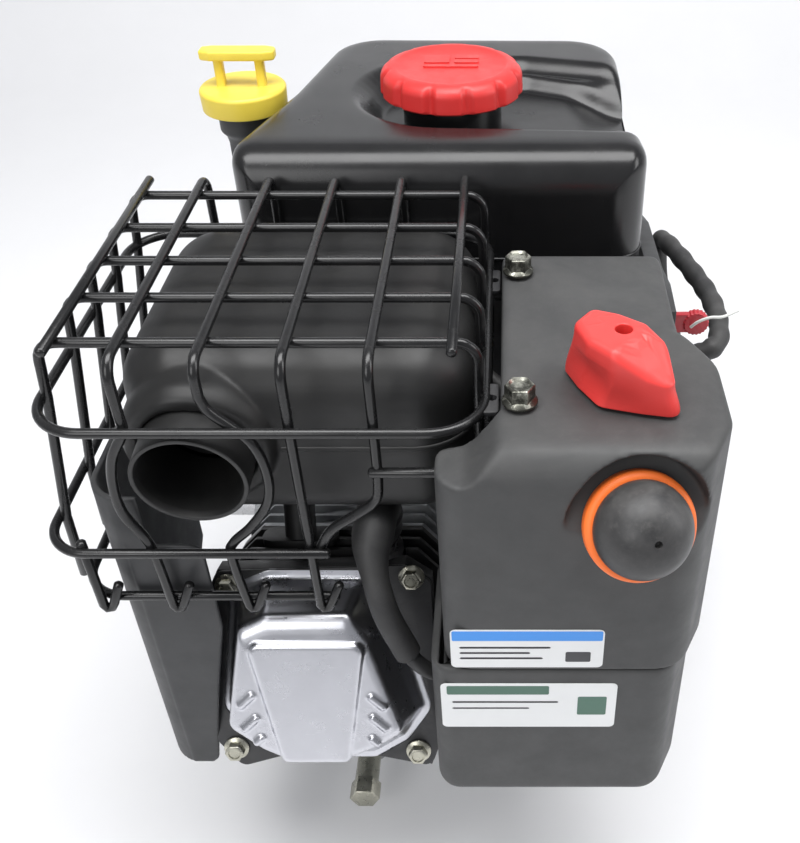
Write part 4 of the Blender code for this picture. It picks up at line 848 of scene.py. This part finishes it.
def label(name, low, high, base, parts):
    """A plain printed sticker on a flat front face, with blocks of colour and no lettering."""
    sheet = prism(rounded_outline(rectangle(low, high), 2.2, 5), 236.05, 236.3)
    make(name, sheet, base, front_frame(), slot="gasket_paper")
    for i, (left, bottom, right, top, colour) in enumerate(parts):
        patch = prism(rounded_outline(rectangle((left, bottom), (right, top)), 0.7, 3), 236.25, 236.38)
        make(f"{name}_print_{i}", patch, M[colour], front_frame(), slot="gasket_paper")


def labels():
    label("notice_sticker", (60.5, 227), (121, 249.5), M["label"], [
        (61.2, 243.2, 120.3, 248.8, "label_blue"), (64, 238.6, 100, 239.6, "label_ink"),
        (64, 235.4, 92, 236.4, "label_ink"), (64, 232.2, 97, 233.2, "label_ink"),
        (106, 230.5, 116, 236.5, "label_ink")])
    label("rating_sticker", (55.5, 187.5), (128, 216.5), M["label"], [
        (58, 209.5, 100, 215, "label_green"), (60, 204, 104, 205, "label_ink"),
        (60, 200, 92, 200.8, "label_ink"), (112, 196, 124, 208, "label_green")])


# --------------------------------------------------------------- exhaust

MUFFLER_LOW, MUFFLER_HIGH = (-69.0, -190.0, 265.0), (70.0, -68.0, 342.0)
OUTLET = (-36.7, -190.5, 305.0)
OUTLET_DROOP, OUTLET_INNER, OUTLET_OUTER, OUTLET_LENGTH = 6.4, 19.9, 22.3, 20.0
WIRE = 2.0
WELD = WIRE * 1.5
GUARD_TOP, GUARD_UPPER, GUARD_SIDE, GUARD_LOWER, GUARD_BOTTOM = 356.0, 328.0, 308.0, 267.0, 234.0
GUARD_FRONT, GUARD_REAR = -209.2, -58.0


def outlet_frame():
    droop = math.radians(OUTLET_DROOP)
    return aimed_frame(OUTLET, (0, -math.cos(droop), -math.sin(droop)))


def muffler():
    low, high = MUFFLER_LOW, MUFFLER_HIGH
    outline = even_outline(rounded_outline(rectangle(low, high), 24, 12), 5)
    shell = soft_block(outline, low[2], high[2], 14, 22, 12)
    inner = soft_block(grown(outline, -2.4), low[2] + 2.4, high[2] - 2.4, 11.6, 19.6, 6)
    outlet = outlet_frame()
    boss_profile = [(0, -26), (31, -26), (31, -1), (27.5, 5), (OUTLET_OUTER + 0.6, 5), (0, 5)]
    boss = turned(soft_profile(boss_profile, 3), 96)
    body = make("muffler_shell", shell, M["muffler"], replaces=("muffler",), sharp=180,
                joins=[(boss, outlet)], cuts=[inner, (cylinder(OUTLET_OUTER + 0.3, -60, 10, 96), outlet)])
    soften(body, 1.0, 4)
    seam = soft_block(grown(outline, 0.8), 301.2, 303.6, 1.1, 1.1, 3)
    make("muffler_seam", seam, M["muffler"], slot="muffler_black",
         cuts=[prism(grown(outline, -1), 290, 315), (cylinder(31.2, -60, 30, 96), outlet)])
    end = OUTLET_LENGTH
    pipe = soft_profile([(OUTLET_INNER, -12), (OUTLET_OUTER, -12), (OUTLET_OUTER, end),
                         (OUTLET_INNER + 0.6, end), (OUTLET_INNER, end - 3)], 0.5, 3)
    make("outlet_pipe", turned(pipe, 128), M["muffler"], outlet, replaces=("muffler_outlet",), sharp=60)
    # a near-black disc closes the outlet bore: soot, and painted shade for the dark inside of the pipe
    make("outlet_bore_shade_disc", turned([(0, -14), (19.7, -14), (19.7, -13.6), (0, -13.6)], 96), M["soot_and_painted_shade"], outlet,
         slot="muffler_black")


def long_wire_feet():
    """(X, Z) points down the guard's front of each long wire, bowed around the outlet."""
    return [
        [(-56, 334), (-56.5, 326), (-63, 314), (-66, 300), (-65.5, 286), (-60, 273), (-58, 262),
         (-56.5, GUARD_BOTTOM)],
        [(-26, 342), (-23, 335), (-11, 322), (-7, 307), (-8.7, 292), (-17, 279), (-25.5, 270), (-27.5, 262),
         (-25, GUARD_BOTTOM)],
        [(4, GUARD_UPPER), (5, GUARD_BOTTOM)],
        [(34.5, 320), (34.2, 300), (32, 292), (24, 285), (14, 277), (8.5, GUARD_LOWER)],
    ]


def hooked(route):
    """A wire's route with the small hook at its lower end."""
    end = Vector(route[-1])
    steps = ((1.2, 0, -2.2), (3.2, 0, -1.6), (4.6, 0, 1.0), (9, 0, 12))
    return route + [end + Vector(step) for step in steps]


def guard_wire(route):
    return tube(route, WIRE, 18, round_ends=True)


def muffler_guard():
    """Welded wire cage around the muffler."""
    front, rear = GUARD_FRONT - WELD, GUARD_REAR - WELD
    ring_corners = [(x, y, GUARD_UPPER) for x, y in rectangle((-92, front), (74.8, rear))]
    wires = [tube(rounded_route(ring_corners, 21, 12, closed=True), WIRE, 18, closed=True)]
    for i, foot in enumerate(long_wire_feet()):
        x = -56 + 30 * i + (0.5 if i == 3 else 0)
        over = [(x, GUARD_REAR, GUARD_UPPER - 5), (x, GUARD_REAR, GUARD_TOP), (x, GUARD_FRONT, GUARD_TOP),
                (foot[0][0], GUARD_FRONT, foot[0][1])]
        down = smooth_route([(px, GUARD_FRONT, pz) for px, pz in foot], 6)[1:]
        route = rounded_route(over, 8, 8) + down
        wires.append(guard_wire(hooked(route) if i < 3 else route))
    corner_hook = [(-86, GUARD_FRONT, GUARD_LOWER + 3), (-85.6, GUARD_FRONT, GUARD_BOTTOM)]
    wires.append(guard_wire(hooked(corner_hook)))
    for x in (-80.5, 63.5):
        wires.append(guard_wire([(x, -62, GUARD_TOP), (x, -132, GUARD_TOP), (x, -202, GUARD_TOP)]))
    for y in (-72, -103, -131.5, -160, -191):
        corners = [(-99.5, y, GUARD_BOTTOM), (-98.5, y, GUARD_LOWER), (-89.5, y, GUARD_UPPER),
                   (-87, y, GUARD_TOP - WELD), (72.3, y, GUARD_TOP - WELD), (72.3, y, GUARD_SIDE - 3)]
        wires.append(guard_wire(rounded_route(corners, 8, 6)))
    left = -98.5 - WELD
    inside = left + 2 * WELD
    side_front = front + 1.6
    runs = [
        (GUARD_LOWER, [(0, rear), (left, rear), (left, front), (12, front)]),
        (GUARD_BOTTOM + 2, [(0, rear), (inside, rear), (inside, front + 2 * WELD), (12, front + 2 * WELD)]),
        (GUARD_SIDE, [(32, side_front), (74.8, side_front), (74.8, -66)]),
    ]
    for height, run in runs:
        wires.append(guard_wire(rounded_route([(x, y, height) for x, y in run], 18, 12)))
    make("guard_wires", merged(wires), M["guard"], replaces=("muffler_guard",), sharp=60)
    for i, y in enumerate((-106, -192)):
        tab = rounded_outline(rectangle((73, y - 9), (79.8, y + 9)), 1.5, 4)
        make(f"guard_tab_{i}", soft_block(tab, GUARD_UPPER - 1, GUARD_UPPER + 1, 0.3, 0.3, 2), M["paint"],
             slot="guard_black", cuts=[(cylinder(1.9, 320, 335, 32), shift(77.2, y))])


def cylinder_shroud():
    """Sheet cowl at the cylinder's left: a bent side and a front plate."""
    outer = rounded_outline(rectangle((-84, -203.6), (-62, -100)), [16, 1, 1, 3], 12)
    shell = soft_block(outer, 112, 288, 0, 0)
    inner = rounded_outline(rectangle((-81.5, -201.1), (-40, -80)), [14, 1, 1, 3], 12)
    slope = prism([(-188, 105), (-90, 105), (-90, 175)], -95, -75)
    plate = rounded_outline([(-72, 112.2), (-60, 112.2), (-52, 160), (-41, 212), (-41, 262), (-72, 262)],
                            [0.5, 5, 40, 12, 6, 0.5], 6)
    panel = make("side_cowl", shell, M["plain"], replaces=("cylinder_shroud",), sharp=180,
                 cuts=[prism(inner, 100, 300), (slope, side_frame())],
                 joins=[(prism(plate, 201.0, 203.6), front_frame())])
    soften(panel, 0.7, 6)


# ------------------------------------------------------------ cover, plug

COVER_FOOT = [(-48, -25), (-32, -43), (-24, -50), (18, -50), (32, -41), (42, -26), (28, 26), (17, 41),
              (-26, 41), (-40, 35)]
CROWN_OUTLINE = [(-43.5, -19.9), (-28.4, -31.8), (-17.5, -37.4), (10.7, -36.9), (25.5, -30.2), (37.0, -22.3),
                 (22.7, 24.5), (14.3, 37.2), (-23.2, 36.7), (-35.7, 30.6)]
FLANGE_OUTLINE = [(-57, -46), (-46, -60), (-26, -54), (20, -54), (46, -60), (50, -48), (48, 40), (36, 48),
                  (-50, 45), (-57, 30)]


def valve_cover():
    """Pressed cover: a soft shell with a raised middle panel and slanted ribs."""
    foot = rounded_outline(COVER_FOOT, 5, 5)
    crown = rounded_outline(CROWN_OUTLINE, 5.5, 5)
    skirt = ((5, 199.4), (5, 200.6), (1.4, 200.9), (0.2, 202))
    rings = [at_height(grown(foot, out), height) for out, height in skirt]
    for k in range(1, 7):
        t = k / 7
        rings.append([(a[0] + (b[0] - a[0]) * t, a[1] + (b[1] - a[1]) * t, 202 + 21 * t)
                      for a, b in zip(foot, crown)])
    for a in (0, 15, 30, 45, 60, 75, 90):
        inward = 1 - math.cos(math.radians(a))
        ring = [(x, y - 7.5 * inward * ease((y - 12) / 20)) for x, y in grown(crown, -4.2 * inward)]
        rings.append(at_height(ring, 224 + 5.2 * math.sin(math.radians(a))))
    shell = loft(rings)
    panel = rounded_outline([(-18, -35.4), (11, -35.4), (19.8, 24), (-30.6, 24)], [2.5, 2.5, 4, 4], 6)
    raised = loft([at_height(grown(panel, 1.6), 228), at_height(grown(panel, 0.9), 229.8),
                   at_height(panel, 231), at_height(grown(panel, -1.1), 231.4)])
    hollow = loft([at_height(grown(foot, -1.4), 190), at_height(grown(foot, -1.4), 203),
                   at_height(grown(crown, -2.2), 222), at_height(grown(crown, -6.4), 227.4)])
    cover = make("cover_pressing", shell, M["cover"], CYLINDER, replaces=("valve_cover",), sharp=180,
                 joins=[(raised, CYLINDER), *((rib, CYLINDER) for rib in cover_ribs())],
                 cuts=[(hollow, CYLINDER)])
    soften(cover, 0.55, 5)
    for i, (x, y) in enumerate(((-48.1, -48.9), (39.8, -50.6), (39.1, 42.5), (-45, 38))):
        flange_bolt(f"cover_bolt_{i}", CYLINDER @ shift(x, y, 201.2))
    lip = rounded_outline(FLANGE_OUTLINE, 5, 5)
    opening = prism(grown(foot, 4.6), 190, 210)
    make("cover_flange", soft_block(lip, 199.3, 200.9, 0.3, 0.5, 3), M["paint"], CYLINDER,
         slot="cast_aluminium", cuts=[(opening, CYLINDER)])


def cover_ribs():
    left = ((-33.4, -4.6, 8.5), (-32.4, -16.4, 9.0), (-29.0, -25.0, 4.5))
    right = ((25.0, -5.3, 8.5), (25.5, -16.2, 9.0), (23.2, -25.5, 4.5))
    return [pill(*rib, 44) for rib in left] + [pill(*rib, 136) for rib in right]


def pill(x, y, length, angle):
    along = Vector((math.cos(math.radians(angle)), math.sin(math.radians(angle)), 0))
    middle = Vector((x, y, 228.9))
    return tube([middle - along * length / 2, middle, middle + along * length / 2], 1.9, 16, round_ends=True)


def flange_bolt(name, place):
    across, washer = 4.6, 6.0
    flange = turned(soft_profile([(0, 0), (washer, 0), (washer, 0.9), (across * 0.9, 1.8), (0, 1.8)], 0.3))
    head = soft_block(hexagon_outline(across), 1, 5.6, 0, 0.7, 3)
    dish = turned([(0, 5), (across * 0.55, 5), (across * 0.7, 6.4), (0, 6.4)], 32)
    make(name, flange, M["zinc"], place, slot="zinc_plating", joins=[(head, place)], cuts=[(dish, place)])


def plug_frame():
    return CYLINDER @ aimed_frame((20.0, 22.0, 161.0), (0.1, 0.8, 0.6))


def plug_lead():
    plug_end = plug_frame()
    start, top = (plug_end @ Vector((0, 0, height * MM)) / MM for height in (47, 68))
    near = [top, (27, -178, 256), (26, -195, 248), (31, -207, 228), (40, -212, 206)]
    far = [(51, -208, 188), (63, -188, 170), (74, -165, 150), (79, -125, 158), (79, -90, 188), (79, -58, 203),
           (79, -24.5, 203)]
    route = smooth_route(near + far, 12)
    boot = smooth_route([start, *near], 12)
    radii = [9.0 - 0.5 * math.cos(math.tau * i / 6) * (i < 14) - 3.2 * ease((i - 30) / 12)
             for i in range(len(boot))]
    make("ignition_lead", tube(route, 3.6, 24), M["rubber"], replaces=("plug_lead",),
         cuts=[(cylinder(3.3, 40, 56, 48), plug_end)])
    make("plug_boot", tube(boot, 8, 40, radii=radii, round_ends=True), M["rubber"], slot="black_rubber",
         cuts=[(cylinder(3.3, 40, 56, 48), plug_end), tube(route, 3.5, 20)])


# ----------------------------------------------------- oil, drain, starter

OIL_X, OIL_Y = -57.0, 36.0


def oil_filler():
    place = shift(OIL_X, OIL_Y)
    profile = soft_profile([(8, 187.3), (11.5, 187.3), (11.5, 334), (12.4, 338), (15, 341), (15, 352),
                            (8, 352)], 1.0, 3)
    make("filler_tube", turned(profile, 96), M["plain"], place, replaces=("oil_fill_tube",), sharp=45)
    disc = soft_profile([(0, 352.3), (22.2, 352.3), (22.7, 362.6), (21.3, 364), (0, 364)], 0.9, 4)
    posts = [soft_block(rounded_outline(rectangle((x - 2.3, -3), (x + 2.3, 3)), 1.4, 4), 363, 379, 0, 0)
             for x in (-10.7, 10.7)]
    bar_outline = [(-19.5, -3.6), (-14, -5.5), (14, -5.5), (19.5, -3.6), (19.5, 3.6), (14, 5.5), (-14, 5.5),
                   (-19.5, 3.6)]
    bar = soft_block(rounded_outline(bar_outline, 1.8, 5), 377.8, 383, 1.2, 1.4, 5)
    stick = block((-3, -1, 194), (3, 1, 340))
    plug = cylinder(7.2, 335, 353)
    make("oil_cap_shell", turned(disc, 128), M["yellow"], place, "oil_cap", ("oil_cap",), sharp=45,
         joins=[(shape, place) for shape in (*posts, bar, stick, plug)], bevel=0.4)


def drain_plug():
    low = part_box("oil_drain_plug")[0]
    front = -low[1] / MM
    pipe = soft_profile([(0, 108.3), (6.8, 108.3), (6.8, front - 10), (0, front - 10)], 0.4)
    hexagon = soft_block(hexagon_outline(8.6), front - 10.5, front, 0, 1.0, 4)
    place = front_frame(1, 0, 27)
    make("drain_plug_body", turned(pipe, 64), M["zinc"], place, replaces=("oil_drain_plug",),
         joins=[(hexagon, place)], bevel=0.2)


def recoil_handle():
    outer = smooth_route([(171, 40, 266), (172.5, 36, 273), (178, 14, 276), (184.5, -10, 276),
                          (189, -32, 276), (190, -54, 276), (187.5, -72, 274), (180, -76, 270),
                          (173, -67, 263)], 10)
    centre = Vector((158.0, -14.0, 186.5)) + Vector((0.279, 0.0, 0.960)).normalized() * 66
    inner = smooth_route([(173, -67, 263), (171, -48, 252), (centre.x - 4, -14, centre.z), (171, 22, 253),
                          (171, 40, 266)], 10)
    grips = [5.2 + 0.35 * math.sin(i * 0.9) for i in range(len(outer))]
    handle = make("starter_grip", tube(outer, 5.2, 24, radii=grips), M["rubber"], None, "recoil_handle",
                  ("recoil_handle",), joins=[tube(inner, 5.2, 24)], sharp=180)
    soften(handle, 0.7, 3)


def ignition_key():
    blade = soft_block(rectangle((155.6, -92.6), (168, -89.4)), 292.6, 302.6, 0.5, 0.5, 2)
    ridges = []
    for i in range(144):
        a = math.tau * i / 144
        r = 6.2 - 0.4 * (1 + math.cos(20 * a)) / 2
        ridges.append((r * math.cos(a), r * math.sin(a)))
    grip = soft_block(ridges, -2.2, 2.2, 0.7, 0.7, 3)
    make("key_grip", grip, M["dark_red"], front_frame(171, -91, 297.6), "ignition_key", ("ignition_key",),
         joins=[blade])
    tie = smooth_route([(168.5, -94.4, 297), (171, -97, 301.5), (176, -98, 304.5), (182, -98, 305),
                        (189, -96, 307)], 10)
    make("key_tie", tube(tie, 0.7, 12, round_ends=True), M["nylon"], None, "ignition_key", slot="rope")


def refined(node, bevel, look=None):
    """A CAD node's shape with its flat faces joined up again and its edges softened."""
    source = frame["nodes"][node]
    shape = bmesh.new()
    shape.from_mesh(source.data)
    bmesh.ops.remove_doubles(shape, verts=shape.verts, dist=2e-6)
    bmesh.ops.dissolve_limit(shape, angle_limit=math.radians(0.6), verts=shape.verts, edges=shape.edges)
    mesh = new_mesh(node, shape)
    look = look or M[NODE_FINISH[SLOTS[node]]]
    make(node + "_surface", mesh, look, None, source["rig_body"], (node,), bevel=bevel, bevel_angle=35,
         sharp=40)


# ------------------------------------------------------------- the studio


def studio():
    world = bpy.data.worlds.new("studio")
    bpy.context.scene.world = world
    world.use_nodes = True
    background = world.node_tree.nodes["Background"]
    background.inputs["Color"].default_value = (0.93, 0.95, 1.0, 1)
    background.inputs["Strength"].default_value = 0.38
    floor_shape = bmesh.new()
    rows = [(-2.2, 0.0), (0.75, 0.0), (1.0, 0.03), (1.18, 0.16), (1.28, 0.4), (1.3, 1.6)]
    strips = [[floor_shape.verts.new((x, y, z)) for y, z in rows] for x in (-3.0, 3.0)]
    for i in range(len(rows) - 1):
        floor_shape.faces.new((strips[0][i], strips[1][i], strips[1][i + 1], strips[0][i + 1]))
    mesh = bpy.data.meshes.new("floor")
    floor_shape.to_mesh(mesh)
    floor_shape.free()
    mesh.shade_smooth()
    floor = bpy.data.objects.new("floor", mesh)
    bpy.context.scene.collection.objects.link(floor)
    pale = finish("pale_floor", (0.83, 0.83, 0.84), 0.6, vary=0.015, patch=4, grain=(400, 0.02),
                  rough_vary=0.05)
    floor.data.materials.append(pale)
    subdivision = floor.modifiers.new("subdivision", "SUBSURF")
    subdivision.levels = subdivision.render_levels = 2
    for name, place, aim, size, power in (
        ("overhead", (0.1, -0.25, 1.5), (0.03, -0.05, 0.3), (1.5, 0.7), 26),
        ("front_fill", (-0.7, -1.5, 1.1), (0.0, -0.1, 0.25), (0.9, 0.9), 9),
        ("right_fill", (1.5, -0.3, 0.9), (0.05, -0.1, 0.25), (0.6, 1.0), 8),
    ):
        light = bpy.data.lights.new(name, "AREA")
        light.shape, light.size, light.size_y, light.energy = "RECTANGLE", size[0], size[1], power
        lamp = bpy.data.objects.new(name, light)
        lamp.location = place
        lamp.rotation_euler = (Vector(aim) - Vector(place)).to_track_quat("-Z", "Y").to_euler()
        bpy.context.scene.collection.objects.link(lamp)
    camera = bpy.data.cameras.new("camera")
    camera.lens, camera.sensor_width, camera.shift_x = 43.98, 36.0, -0.1305
    eye = bpy.data.objects.new("camera", camera)
    eye.location = (0.084, -0.5, 0.56)
    eye.rotation_euler = (math.radians(90 - 38.2), 0, 0)
    bpy.context.scene.collection.objects.link(eye)
    bpy.context.scene.camera = eye
    bpy.context.scene.view_settings.view_transform = "Standard"


def build():
    fuel_tank()
    fuel_cap()
    fuel_plumbing()
    snow_hood()
    carb_shroud()
    choke_knob()
    primer()
    hood_bolts()
    labels()
    muffler()
    muffler_guard()
    cylinder_shroud()
    valve_cover()
    plug_lead()
    oil_filler()
    drain_plug()
    recoil_handle()
    ignition_key()
    # the head and exhaust pipe are drawn near black: dark paint in part, painted shade in part
    refined("cylinder_head", 0.4, M["head"])
    refined("exhaust_pipe", 0.3, M["head"])
    for node in ("crankcase", "crankcase_cover", "blower_housing", "recoil_cover"):
        refined(node, 0.8)
    for node in ("tank_bracket", "switch_panel", "carburetor", "ignition_coil", "crankshaft", "flywheel",
                 "recoil_pulley"):
        refined(node, 0.4)
    studio()


build()
